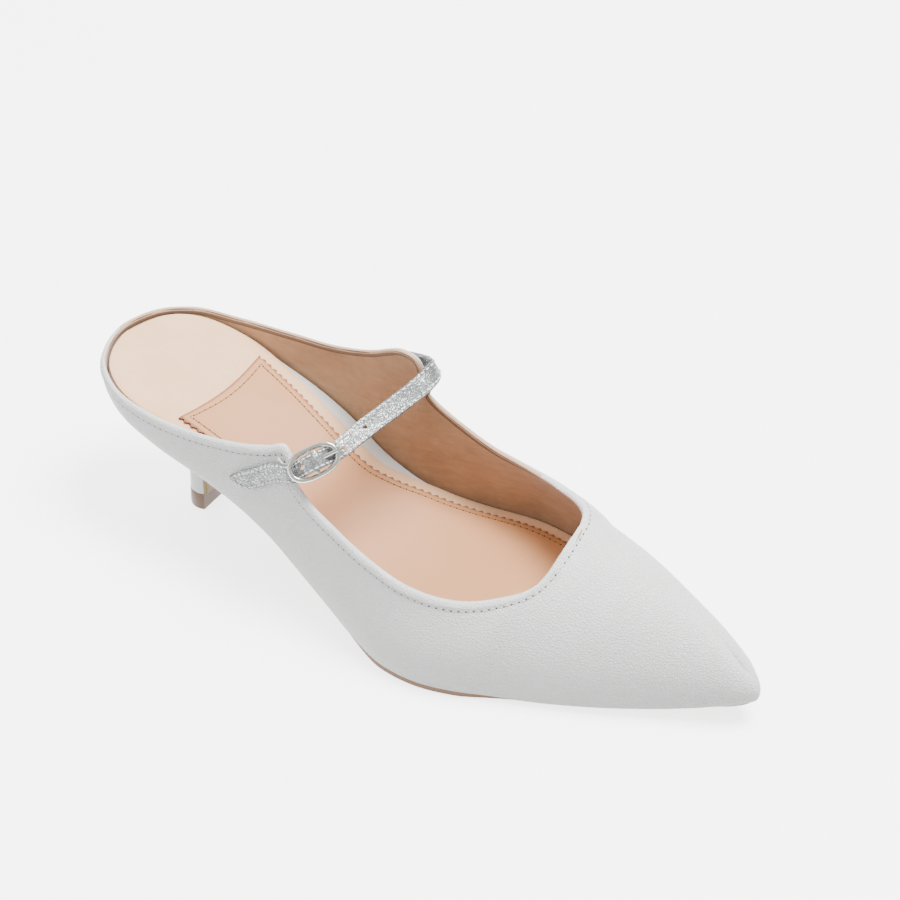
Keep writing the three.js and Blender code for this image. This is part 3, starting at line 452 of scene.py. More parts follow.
@dataclass
class Workshop:
    """Makes meshes in the frame from points of the last."""

    last: Last

    def mesh(self, name: str, points: np.ndarray, faces: Sequence, tags: dict | None = None,
             face_slots: Sequence[int] | None = None, merge: float = 0.01,
             smooth: float = 40.0) -> bpy.types.Object:
        """Build an object from points in millimetres.

        Args:
            name: Name of the piece.
            points: Points of the last.
            faces: Lists of point numbers.
            tags: Values kept on the points, such as the distance from an edge.
            face_slots: Material slot of each face.
            merge: Distance under which points are joined, in millimetres.
            smooth: Angle in degrees up to which edges are shaded smooth.

        Returns:
            The new object, with its faces out.
        """
        data = bpy.data.meshes.new(name)
        data.from_pydata([tuple(p) for p in self.last.place(points)], [], [list(map(int, f)) for f in faces])
        for key, values in (tags or {}).items():
            kept = data.attributes.new(key, "FLOAT", "POINT")
            kept.data.foreach_set("value", np.asarray(values, np.float32))
        if face_slots is not None:
            data.polygons.foreach_set("material_index", np.asarray(face_slots, np.int32))
        shape = bmesh.new()
        shape.from_mesh(data)
        bmesh.ops.remove_doubles(shape, verts=shape.verts, dist=merge * MM)
        bmesh.ops.dissolve_degenerate(shape, edges=shape.edges, dist=1e-7)
        if shape.calc_volume(signed=True) < 0:
            bmesh.ops.reverse_faces(shape, faces=shape.faces)
        shape.to_mesh(data)
        shape.free()
        piece = bpy.data.objects.new(name, data)
        bpy.context.scene.collection.objects.link(piece)
        self.shade(piece, smooth)
        return piece

    @staticmethod
    def shade(piece: bpy.types.Object, angle: float) -> None:
        """Shade a piece smooth up to an angle in degrees."""
        bpy.ops.object.select_all(action="DESELECT")
        piece.select_set(True)
        bpy.context.view_layer.objects.active = piece
        bpy.ops.object.shade_smooth_by_angle(angle=math.radians(angle))

    @staticmethod
    def join(pieces: Sequence[bpy.types.Object], name: str) -> bpy.types.Object:
        """Join pieces into the first one and name it."""
        bpy.ops.object.select_all(action="DESELECT")
        for piece in pieces:
            piece.select_set(True)
        bpy.context.view_layer.objects.active = pieces[0]
        bpy.ops.object.join()
        pieces[0].name = name
        return pieces[0]

    @staticmethod
    def dress(piece: bpy.types.Object, finish: "Finish", node: str) -> None:
        """Give a piece its finish and let it stand for its node."""
        piece.data.materials.append(finish.build())
        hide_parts(node)
        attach(piece, "root")

    @staticmethod
    def trim(piece: bpy.types.Object, finish: "Finish", slot: str) -> None:
        """Give a small added piece its finish."""
        piece.data.materials.append(finish.build())
        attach(piece, "root")

    def loft(self, name: str, rings: np.ndarray, ends: str = "capped", tags: dict | None = None,
             smooth: float = 40.0) -> bpy.types.Object:
        """Build a closed piece through rings.

        Args:
            name: Name of the piece.
            rings: Points of each ring, in order.
            ends: capped, run_out or joined.
            tags: Values kept on the points, one for each ring point.
            smooth: Angle up to which edges are shaded smooth.

        Returns:
            The new object.
        """
        count, size = rings.shape[:2]
        points = rings.reshape(-1, 3)
        faces = []
        for k in range(count if ends == "joined" else count - 1):
            a, b = k * size, ((k + 1) % count) * size
            faces += [(a + i, a + (i + 1) % size, b + (i + 1) % size, b + i) for i in range(size)]
        if ends == "capped":
            faces += [list(range(size))[::-1], [(count - 1) * size + i for i in range(size)]]
        return self.mesh(name, points, faces, tags, smooth=smooth)

    def plate(self, name: str, grid: np.ndarray, low: np.ndarray, high: np.ndarray, tags: dict | None = None,
              smooth: float = 40.0) -> bpy.types.Object:
        """Build a closed plate over a plan grid.

        Args:
            name: Name of the piece.
            grid: Plan points in rows and steps across.
            low: Height of the underside at each grid point.
            high: Height of the top at each grid point.
            tags: Values kept on the grid points.
            smooth: Angle up to which edges are shaded smooth.

        Returns:
            The new object.
        """
        rows, steps = grid.shape[:2]
        top, under = grid.copy(), grid.copy()
        top[..., 2], under[..., 2] = high, low
        points = np.vstack([top.reshape(-1, 3), under.reshape(-1, 3)])
        n = rows * steps
        number = np.arange(n).reshape(rows, steps)
        faces = []
        for i in range(rows - 1):
            for j in range(steps - 1):
                a, b, c, d = number[i, j], number[i, j + 1], number[i + 1, j + 1], number[i + 1, j]
                faces += [(a, b, c, d), (d + n, c + n, b + n, a + n)]
        rim = [*number[0, :], *number[1:, -1], *number[-1, :-1][::-1], *number[1:-1, 0][::-1]]
        faces += [(a, a + n, b + n, b) for a, b in zip(rim, rim[1:] + rim[:1])]
        doubled = {key: np.concatenate([np.ravel(v), np.ravel(v)]) for key, v in (tags or {}).items()}
        return self.mesh(name, points, faces, doubled, merge=0.002, smooth=smooth)

    def copies(self, name: str, pattern: bpy.types.Object, frames: Sequence[Matrix]) -> bpy.types.Object:
        """One mesh made of a small pattern repeated at many places.

        Args:
            name: Name of the piece.
            pattern: Object that is copied and then removed.
            frames: Where each copy goes, in the frame.

        Returns:
            The new object.
        """
        source = np.array([v.co[:] + (1.0,) for v in pattern.data.vertices])
        polygons = [list(p.vertices) for p in pattern.data.polygons]
        points, faces = [], []
        for k, matrix in enumerate(frames):
            points.append((source @ np.array(matrix).T)[:, :3])
            faces += [[i + k * len(source) for i in polygon] for polygon in polygons]
        data = bpy.data.meshes.new(name)
        data.from_pydata([tuple(p) for p in np.vstack(points)], [], faces)
        piece = bpy.data.objects.new(name, data)
        bpy.context.scene.collection.objects.link(piece)
        bpy.data.objects.remove(pattern)
        self.shade(piece, 60)
        return piece


@dataclass
class SurfaceProbe:
    """Finds places on a piece's surface."""

    piece: bpy.types.Object

    def __post_init__(self) -> None:
        """Build the search tree from the piece's mesh."""
        data = self.piece.data
        corners = [v.co.copy() for v in data.vertices]
        self.tree = BVHTree.FromPolygons(corners, [tuple(p.vertices) for p in data.polygons])

    def nearest(self, point: Vector) -> tuple[Vector, Vector]:
        """Closest place on the surface and its normal."""
        place, normal, _, _ = self.tree.find_nearest(point)
        return place, normal


@dataclass
class Seam:
    """A row of stitches along a line on a surface."""

    workshop: Workshop
    pitch: float = 2.6
    thread: float = 1.7
    radius: float = 0.2
    sink: float = 0.0

    def frames(self, line: list[Vector], normals: list[Vector], offset: float = 0.0) -> list[Matrix]:
        """Evenly spaced frames along a line, X along it and Z out of the surface.

        Args:
            line: Points of the line in the frame.
            normals: Surface normal at each point.
            offset: Shift along the line, as a share of the pitch.

        Returns:
            One matrix for each stitch.
        """
        points, outs = np.array([p[:] for p in line]), np.array([n[:] for n in normals])
        lengths = np.concatenate([[0], np.cumsum(np.linalg.norm(np.diff(points, axis=0), axis=1))])
        count = max(2, int(lengths[-1] / (self.pitch * MM)))
        places = (np.arange(count) + 0.5 + offset) * lengths[-1] / count
        places = places[places < lengths[-1]]
        at = np.stack([np.interp(places, lengths, points[:, k]) for k in range(3)], -1)
        out = unit(np.stack([np.interp(places, lengths, outs[:, k]) for k in range(3)], -1))
        ahead = np.stack([np.interp(places + 3e-4, lengths, points[:, k]) for k in range(3)], -1)
        behind = np.stack([np.interp(places - 3e-4, lengths, points[:, k]) for k in range(3)], -1)
        made = []
        for p, n, a, b in zip(at, out, ahead, behind):
            z = Vector(n)
            x = Vector(a - b)
            x = (x - z * x.dot(z)).normalized()
            y = z.cross(x)
            matrix = Matrix((x, y, z)).transposed().to_4x4()
            matrix.translation = Vector(p) + z * self.sink * MM
            made.append(matrix)
        return made

    def stitches(self, name: str, line: list[Vector], normals: list[Vector]) -> bpy.types.Object:
        """Thread stitches along a line, each a small capsule that dips at both ends."""
        bpy.ops.object.select_all(action="DESELECT")
        bpy.ops.mesh.primitive_uv_sphere_add(segments=6, ring_count=6, radius=1.0, location=(0, 0, 0))
        pattern = bpy.context.active_object
        bpy.ops.object.mode_set(mode="EDIT")
        bpy.ops.transform.rotate(value=math.pi / 2, orient_axis="Y", center_override=(0, 0, 0))
        size = (self.thread / 2 * MM, self.radius * MM, self.radius * MM)
        bpy.ops.transform.resize(value=size, center_override=(0, 0, 0))
        bpy.ops.object.mode_set(mode="OBJECT")
        return self.workshop.copies(name, pattern, self.frames(line, normals))

    def holes(self, name: str, line: list[Vector], normals: list[Vector], radius: float) -> bpy.types.Object:
        """Dark discs between the stitches, each a thin dished disc, that paint the shade inside the needle
        holes.
        """
        bpy.ops.object.select_all(action="DESELECT")
        bpy.ops.mesh.primitive_uv_sphere_add(segments=8, ring_count=4, radius=1.0, location=(0, 0, 0))
        pattern = bpy.context.active_object
        bpy.ops.object.mode_set(mode="EDIT")
        bpy.ops.transform.resize(value=(radius * MM, radius * 0.8 * MM, 0.09 * MM), center_override=(0, 0, 0))
        bpy.ops.object.mode_set(mode="OBJECT")
        return self.workshop.copies(name, pattern, self.frames(line, normals, offset=0.5))


# Shader node groups


@dataclass
class Nodes:
    """Small helper that adds and links nodes in one tree."""

    tree: bpy.types.NodeTree

    def add(self, kind: str, inputs: dict | None = None, **settings: object) -> bpy.types.Node:
        """Add a node.

        Args:
            kind: Node type.
            inputs: Values or sockets by input name or number.
            **settings: Properties of the node.

        Returns:
            The new node.
        """
        node = self.tree.nodes.new(kind)
        for key, value in settings.items():
            setattr(node, key, value)
        for key, value in (inputs or {}).items():
            if isinstance(value, bpy.types.NodeSocket):
                self.tree.links.new(value, node.inputs[key])
            else:
                node.inputs[key].default_value = value
        return node

    def link(self, source: bpy.types.NodeSocket, target: bpy.types.NodeSocket) -> None:
        """Join an output to an input."""
        self.tree.links.new(source, target)

    def blend(self, a: bpy.types.NodeSocket, share: float, b: bpy.types.NodeSocket) -> bpy.types.NodeSocket:
        """A share of a and the rest of b, added up."""
        return self.math("ADD", self.math("MULTIPLY", a, share), self.math("MULTIPLY", b, 1 - share))

    def math(self, operation: str, a: object, b: object = 0.0, clamp: bool = False) -> bpy.types.NodeSocket:
        """Result of a math node on two values or sockets."""
        return self.add("ShaderNodeMath", {0: a, 1: b}, operation=operation, use_clamp=clamp).outputs[0]

    def ramp(self, factor: bpy.types.NodeSocket,
             stops: Sequence[tuple[float, float]]) -> bpy.types.NodeSocket:
        """Grey ramp through stops of place and value."""
        node = self.add("ShaderNodeValToRGB", {0: factor})
        elements = node.color_ramp.elements
        while len(elements) < len(stops):
            elements.new(0.5)
        for element, (place, value) in zip(elements, stops):
            element.position = place
            element.color = (value, value, value, 1)
        return node.outputs[0]

    def mix(self, factor: object, a: object, b: object, blend: str = "MIX") -> bpy.types.NodeSocket:
        """Colour mix of two colours or sockets."""
        node = self.add("ShaderNodeMix", {0: factor, 6: a, 7: b}, data_type="RGBA", blend_type=blend)
        return node.outputs[2]


def new_group(name: str, inputs: Sequence[tuple[str, float]], outputs: Sequence[str]) -> tuple:
    """Start a shader node group with named sockets.

    Args:
        name: Name of the group.
        inputs: Names and values of the number inputs, besides the Vector input.
        outputs: Names of the number outputs.

    Returns:
        The group, its Nodes helper, and its input and output nodes.
    """
    group = bpy.data.node_groups.new(name, "ShaderNodeTree")
    group.interface.new_socket("Vector", in_out="INPUT", socket_type="NodeSocketVector")
    for label, value in inputs:
        group.interface.new_socket(label, in_out="INPUT", socket_type="NodeSocketFloat").default_value = value
    for label in outputs:
        group.interface.new_socket(label, in_out="OUTPUT", socket_type="NodeSocketFloat")
    nodes = Nodes(group)
    return group, nodes, nodes.add("NodeGroupInput"), nodes.add("NodeGroupOutput")


def leather_grain_group() -> bpy.types.NodeTree:
    """Fine pebbled grain: Height for a bump, Tone for slow colour change, Pores for dark pits."""
    inputs = [("Scale", 900.0), ("Depth", 1.0)]
    group, n, start, end = new_group("leather_grain", inputs, ["Height", "Tone", "Pores"])
    scale, vector = start.outputs["Scale"], start.outputs["Vector"]
    warp = n.add("ShaderNodeTexNoise", {"Vector": vector, "Scale": 300.0, "Detail": 2.0})
    bent = n.add("ShaderNodeVectorMath", {0: warp.outputs["Color"], "Scale": 0.0008}, operation="SCALE")
    moved = n.add("ShaderNodeVectorMath", {0: vector, 1: bent.outputs[0]}, operation="ADD")
    cells = n.add(
        "ShaderNodeTexVoronoi", {"Vector": moved.outputs[0], "Scale": scale}, feature="DISTANCE_TO_EDGE")
    pebble = n.ramp(cells.outputs["Distance"], [(0.0, 0.0), (0.22, 0.8), (0.5, 1.0)])
    finer = n.math("MULTIPLY", scale, 2.3)
    fine = n.add("ShaderNodeTexNoise", {"Vector": vector, "Scale": finer, "Detail": 3.0})
    slow = n.add("ShaderNodeTexNoise", {"Vector": vector, "Scale": 45.0, "Detail": 3.0})
    height = n.blend(pebble, 0.6, fine.outputs["Fac"])
    n.link(n.math("MULTIPLY", height, start.outputs["Depth"]), end.inputs["Height"])
    n.link(slow.outputs["Fac"], end.inputs["Tone"])
    n.link(n.ramp(cells.outputs["Distance"], [(0.0, 1.0), (0.10, 0.2), (0.3, 0.0)]), end.inputs["Pores"])
    return group


def suede_nap_group() -> bpy.types.NodeTree:
    """Short brushed fibres: Height for a bump, Nap for streaks, Cloud for handled patches."""
    inputs = [("Scale", 500.0), ("Stretch", 4.0)]
    group, n, start, end = new_group("suede_nap", inputs, ["Height", "Nap", "Cloud"])
    vector, scale = start.outputs["Vector"], start.outputs["Scale"]
    split = n.add("ShaderNodeSeparateXYZ", {0: vector})
    along = n.math("DIVIDE", split.outputs[0], start.outputs["Stretch"])
    streaked = n.add("ShaderNodeCombineXYZ", {0: along, 1: split.outputs[1], 2: split.outputs[2]})
    brushed = {"Vector": streaked.outputs[0], "Scale": scale, "Detail": 4.0, "Roughness": 0.7}
    fibres = n.add("ShaderNodeTexNoise", brushed)
    finer = n.math("MULTIPLY", scale, 3.0)
    dots = n.add("ShaderNodeTexNoise", {"Vector": vector, "Scale": finer, "Detail": 2.0})
    cloud = n.add("ShaderNodeTexNoise", {"Vector": vector, "Scale": 60.0, "Detail": 4.0, "Roughness": 0.6})
    height = n.blend(fibres.outputs["Fac"], 0.5, dots.outputs["Fac"])
    n.link(height, end.inputs["Height"])
    n.link(n.ramp(fibres.outputs["Fac"], [(0.3, 0.0), (0.7, 1.0)]), end.inputs["Nap"])
    n.link(n.ramp(cloud.outputs["Fac"], [(0.3, 0.0), (0.7, 1.0)]), end.inputs["Cloud"])
    return group


def glitter_group() -> bpy.types.NodeTree:
    """Small flat flakes: Flake is a random value for each one, Edge the dark gaps, Height a bump."""
    group, n, start, end = new_group("glitter_flakes", [("Scale", 2200.0)], ["Flake", "Edge", "Height"])
    vector, scale = start.outputs["Vector"], start.outputs["Scale"]
    cells = n.add("ShaderNodeTexVoronoi", {"Vector": vector, "Scale": scale})
    gaps = n.add("ShaderNodeTexVoronoi", {"Vector": vector, "Scale": scale}, feature="DISTANCE_TO_EDGE")
    split = n.add("ShaderNodeSeparateColor", {0: cells.outputs["Color"]})
    tilt = n.math("MULTIPLY", split.outputs[1], cells.outputs["Distance"])
    n.link(split.outputs[0], end.inputs["Flake"])
    n.link(n.ramp(gaps.outputs["Distance"], [(0.0, 1.0), (0.12, 0.0)]), end.inputs["Edge"])
    n.link(n.math("ADD", tilt, split.outputs[2]), end.inputs["Height"])
    return group


GRAIN = leather_grain_group()
NAP = suede_nap_group()
GLITTER = glitter_group()


# Finishes


@dataclass(frozen=True)
class Finish:
    """Common start of every finish: a material with its shader and an Object coordinate."""

    name: str

    def start(self) -> tuple[bpy.types.Material, Nodes, bpy.types.Node, bpy.types.NodeSocket]:
        """Material, helper, shader node and coordinate socket."""
        material = bpy.data.materials.new(self.name)
        material.use_nodes = True
        material.node_tree.nodes.clear()
        nodes = Nodes(material.node_tree)
        shader = nodes.add("ShaderNodeBsdfPrincipled")
        output = nodes.add("ShaderNodeOutputMaterial")
        nodes.link(shader.outputs[0], output.inputs[0])
        return material, nodes, shader, nodes.add("ShaderNodeTexCoord").outputs["Object"]

    @staticmethod
    def bump(nodes: Nodes, shader: bpy.types.Node, height: bpy.types.NodeSocket, depth_mm: float,
             strength: float) -> None:
        """Feed a height into the shader's normal."""
        inputs = {"Strength": strength, "Distance": depth_mm * MM, "Height": height}
        bump = nodes.add("ShaderNodeBump", inputs)
        nodes.link(bump.outputs[0], shader.inputs["Normal"])


@dataclass(frozen=True)
class GrainedLeather(Finish):
    """Dressed leather with a fine grain, and an optional painted shade that darkens the colour near an edge.
    """

    color: tuple[float, float, float] = (0.80, 0.81, 0.79)
    shade: tuple[float, float, float] = (0.70, 0.71, 0.69)
    roughness: float = 0.42
    scale: float = 900.0
    depth: float = 0.3
    strength: float = 1.0
    sheen: float = 0.0
    # edge: colour of a painted shade blended in near the edge by the from_edge distance; None leaves it out.
    edge: tuple[float, float, float] | None = None
    painted_shade_width: float = 0.9

    def build(self) -> bpy.types.Material:
        """Build the material."""
        material, n, shader, where = self.start()
        grain = n.add("ShaderNodeGroup", node_tree=GRAIN)
        n.link(where, grain.inputs["Vector"])
        grain.inputs["Scale"].default_value = self.scale
        tone = n.mix(grain.outputs["Tone"], (*self.shade, 1), (*self.color, 1))
        pits = n.mix(n.math("MULTIPLY", grain.outputs["Pores"], 0.25), tone, (*self.shade, 1))
        # Painted shade: within the given width of the edge the colour turns to the edge colour.
        if self.edge is not None:
            distance = n.add("ShaderNodeAttribute", attribute_name="from_edge").outputs["Fac"]
            near = n.math("SUBTRACT", 1.0, n.math("DIVIDE", distance, self.painted_shade_width), clamp=True)
            pits = n.mix(near, pits, (*self.edge, 1))
        n.link(pits, shader.inputs["Base Color"])
        rough = n.math("ADD", self.roughness - 0.05, n.math("MULTIPLY", grain.outputs["Tone"], 0.12))
        n.link(rough, shader.inputs["Roughness"])
        shader.inputs["Sheen Weight"].default_value = self.sheen
        shader.inputs["Specular IOR Level"].default_value = 0.4
        self.bump(n, shader, grain.outputs["Height"], self.depth, self.strength)
        return material


@dataclass(frozen=True)
class Suede(Finish):
    """Brushed leather with nap and an optional band of another colour along an edge."""

    color: tuple[float, float, float] = (0.40, 0.24, 0.14)
    shade: tuple[float, float, float] = (0.26, 0.14, 0.075)
    band: tuple[float, float, float] | None = None
    band_width: float = 3.0
    band_line: float = 0.28
    roughness: float = 0.9
    strength: float = 0.45

    def build(self) -> bpy.types.Material:
        """Build the material."""
        material, n, shader, where = self.start()
        nap = n.add("ShaderNodeGroup", node_tree=NAP)
        n.link(where, nap.inputs["Vector"])
        streaks = n.blend(nap.outputs["Nap"], 0.45, nap.outputs["Cloud"])
        color = n.mix(streaks, (*self.shade, 1), (*self.color, 1))
        if self.band is not None:
            distance = n.add("ShaderNodeAttribute", attribute_name="from_edge").outputs["Fac"]
            inside = n.math("LESS_THAN", distance, self.band_width)
            apart = n.math("ABSOLUTE", n.math("SUBTRACT", distance, self.band_width))
            line = n.math("LESS_THAN", apart, self.band_line)
            color = n.mix(inside, color, (*self.band, 1))
            color = n.mix(n.math("MULTIPLY", line, 0.8), color, (0.10, 0.06, 0.035, 1))
        n.link(color, shader.inputs["Base Color"])
        shader.inputs["Roughness"].default_value = self.roughness
        shader.inputs["Specular IOR Level"].default_value = 0.15
        shader.inputs["Sheen Weight"].default_value = 0.35
        shader.inputs["Sheen Roughness"].default_value = 0.4
        self.bump(n, shader, nap.outputs["Height"], 0.15, self.strength)
        return material


@dataclass(frozen=True)
class GlitterCloth(Finish):
    """Silver glitter on a grey ground."""

    scale: float = 3400.0

    def build(self) -> bpy.types.Material:
        """Build the material."""
        material, n, shader, where = self.start()
        flakes = n.add("ShaderNodeGroup", node_tree=GLITTER)
        n.link(where, flakes.inputs["Vector"])
        flakes.inputs["Scale"].default_value = self.scale
        bright = n.ramp(flakes.outputs["Flake"], [(0.0, 0.08), (0.55, 0.18), (0.85, 0.30), (1.0, 0.8)])
        color = n.mix(n.math("MULTIPLY", flakes.outputs["Edge"], 0.55), bright, (0.14, 0.15, 0.15, 1))
        tint = n.mix(0.5, color, (0.93, 0.97, 0.98, 1), "MULTIPLY")
        n.link(tint, shader.inputs["Base Color"])
        n.link(n.ramp(flakes.outputs["Flake"], [(0.0, 0.55), (1.0, 0.2)]), shader.inputs["Roughness"])
        n.link(n.ramp(flakes.outputs["Flake"], [(0.0, 0.1), (1.0, 0.6)]), shader.inputs["Metallic"])
        self.bump(n, shader, flakes.outputs["Height"], 0.12, 0.7)
        return material


@dataclass(frozen=True)
class Metal(Finish):
    """Polished plated metal with faint rubbing, its colour turned dark where the surface faces away from the
    view, as a painted dark reflection.
    """

    color: tuple[float, float, float] = (0.60, 0.62, 0.55)
    # rim: colour of the painted dark reflection on faces turned away from the view.
    rim: tuple[float, float, float] = (0.07, 0.07, 0.05)
    roughness: float = 0.2

    def build(self) -> bpy.types.Material:
        """Build the material."""
        material, n, shader, where = self.start()
        rub = n.add("ShaderNodeTexNoise", {"Vector": where, "Scale": 900.0, "Detail": 4.0})
        dark = tuple(0.86 * c for c in self.color)
        plate = n.mix(rub.outputs["Fac"], (*dark, 1), (*self.color, 1))
        # Painted dark reflection: the plate colour gives way to the rim colour as the surface turns from the
        # view.
        facing = n.add("ShaderNodeLayerWeight", {"Blend": 0.45}).outputs["Facing"]
        turned = n.ramp(facing, [(0.25, 0.0), (0.8, 1.0)])
        n.link(n.mix(turned, plate, (*self.rim, 1)), shader.inputs["Base Color"])
        rough = n.math("ADD", self.roughness - 0.04, n.math("MULTIPLY", rub.outputs["Fac"], 0.1))
        n.link(rough, shader.inputs["Roughness"])
        shader.inputs["Metallic"].default_value = 1.0
        self.bump(n, shader, rub.outputs["Fac"], 0.02, 0.15)
        return material


@dataclass(frozen=True)
class Thread(Finish):
    """Twisted sewing thread."""

    color: tuple[float, float, float] = (0.80, 0.80, 0.78)
    roughness: float = 0.6

    def build(self) -> bpy.types.Material:
        """Build the material."""
        material, n, shader, where = self.start()
        twist = n.add("ShaderNodeTexNoise", {"Vector": where, "Scale": 3500.0, "Detail": 1.0})
        dark = tuple(0.7 * c for c in self.color)
        n.link(n.mix(twist.outputs["Fac"], (*dark, 1), (*self.color, 1)), shader.inputs["Base Color"])
        shader.inputs["Roughness"].default_value = self.roughness
        self.bump(n, shader, twist.outputs["Fac"], 0.05, 0.4)
        return material


@dataclass(frozen=True)
class SoleEdge(Finish):
    """Burnished sole leather or lift, with fine level layers."""

    color: tuple[float, float, float] = (0.20, 0.09, 0.03)
    shade: tuple[float, float, float] = (0.10, 0.04, 0.012)
    roughness: float = 0.4
    layers: float = 900.0

    def build(self) -> bpy.types.Material:
        """Build the material."""
        material, n, shader, where = self.start()
        split = n.add("ShaderNodeSeparateXYZ", {0: where})
        height = n.math("MULTIPLY", split.outputs[2], self.layers)
        lines = n.add("ShaderNodeTexNoise", {"W": height, "Scale": 3.0}, noise_dimensions="1D")
        wear = n.add("ShaderNodeTexNoise", {"Vector": where, "Scale": 260.0, "Detail": 5.0})
        blend = n.blend(lines.outputs["Fac"], 0.5, wear.outputs["Fac"])
        n.link(n.mix(blend, (*self.shade, 1), (*self.color, 1)), shader.inputs["Base Color"])
        rough = n.math("ADD", self.roughness, n.math("MULTIPLY", wear.outputs["Fac"], 0.2))
        n.link(rough, shader.inputs["Roughness"])
        self.bump(n, shader, blend, 0.05, 0.3)
        return material


WHITE_LEATHER = GrainedLeather("white_leather")
WHITE_COVER = GrainedLeather("white_cover_leather", roughness=0.38, depth=0.03, strength=0.3, scale=1200.0)
# The pad's edge colour is a painted shade along its pinked edge and teeth.
PAD_LEATHER = GrainedLeather(
    "tan_pad_leather", color=(0.64, 0.31, 0.145), shade=(0.56, 0.25, 0.11), roughness=0.5, scale=1300.0,
    depth=0.03, strength=0.3, edge=(0.22, 0.07, 0.03))
BREAST_LEATHER = GrainedLeather(
    "breast_leather", color=(0.30, 0.21, 0.07), shade=(0.22, 0.14, 0.04), roughness=0.4, depth=0.03,
    strength=0.3)
SOCK_SUEDE = Suede("sock_suede", color=(0.92, 0.60, 0.37), shade=(0.84, 0.51, 0.29), strength=0.3)
LINING_SUEDE = Suede(
    "lining_suede", color=(0.47, 0.29, 0.17), shade=(0.31, 0.18, 0.10), band=(0.62, 0.42, 0.29),
    band_width=2.1)
SOLE_EDGE = SoleEdge("sole_edge_brown")
LIFT = SoleEdge("lift_brown", color=(0.15, 0.055, 0.006), shade=(0.05, 0.016, 0.002), roughness=0.3)


# Sub-assemblies


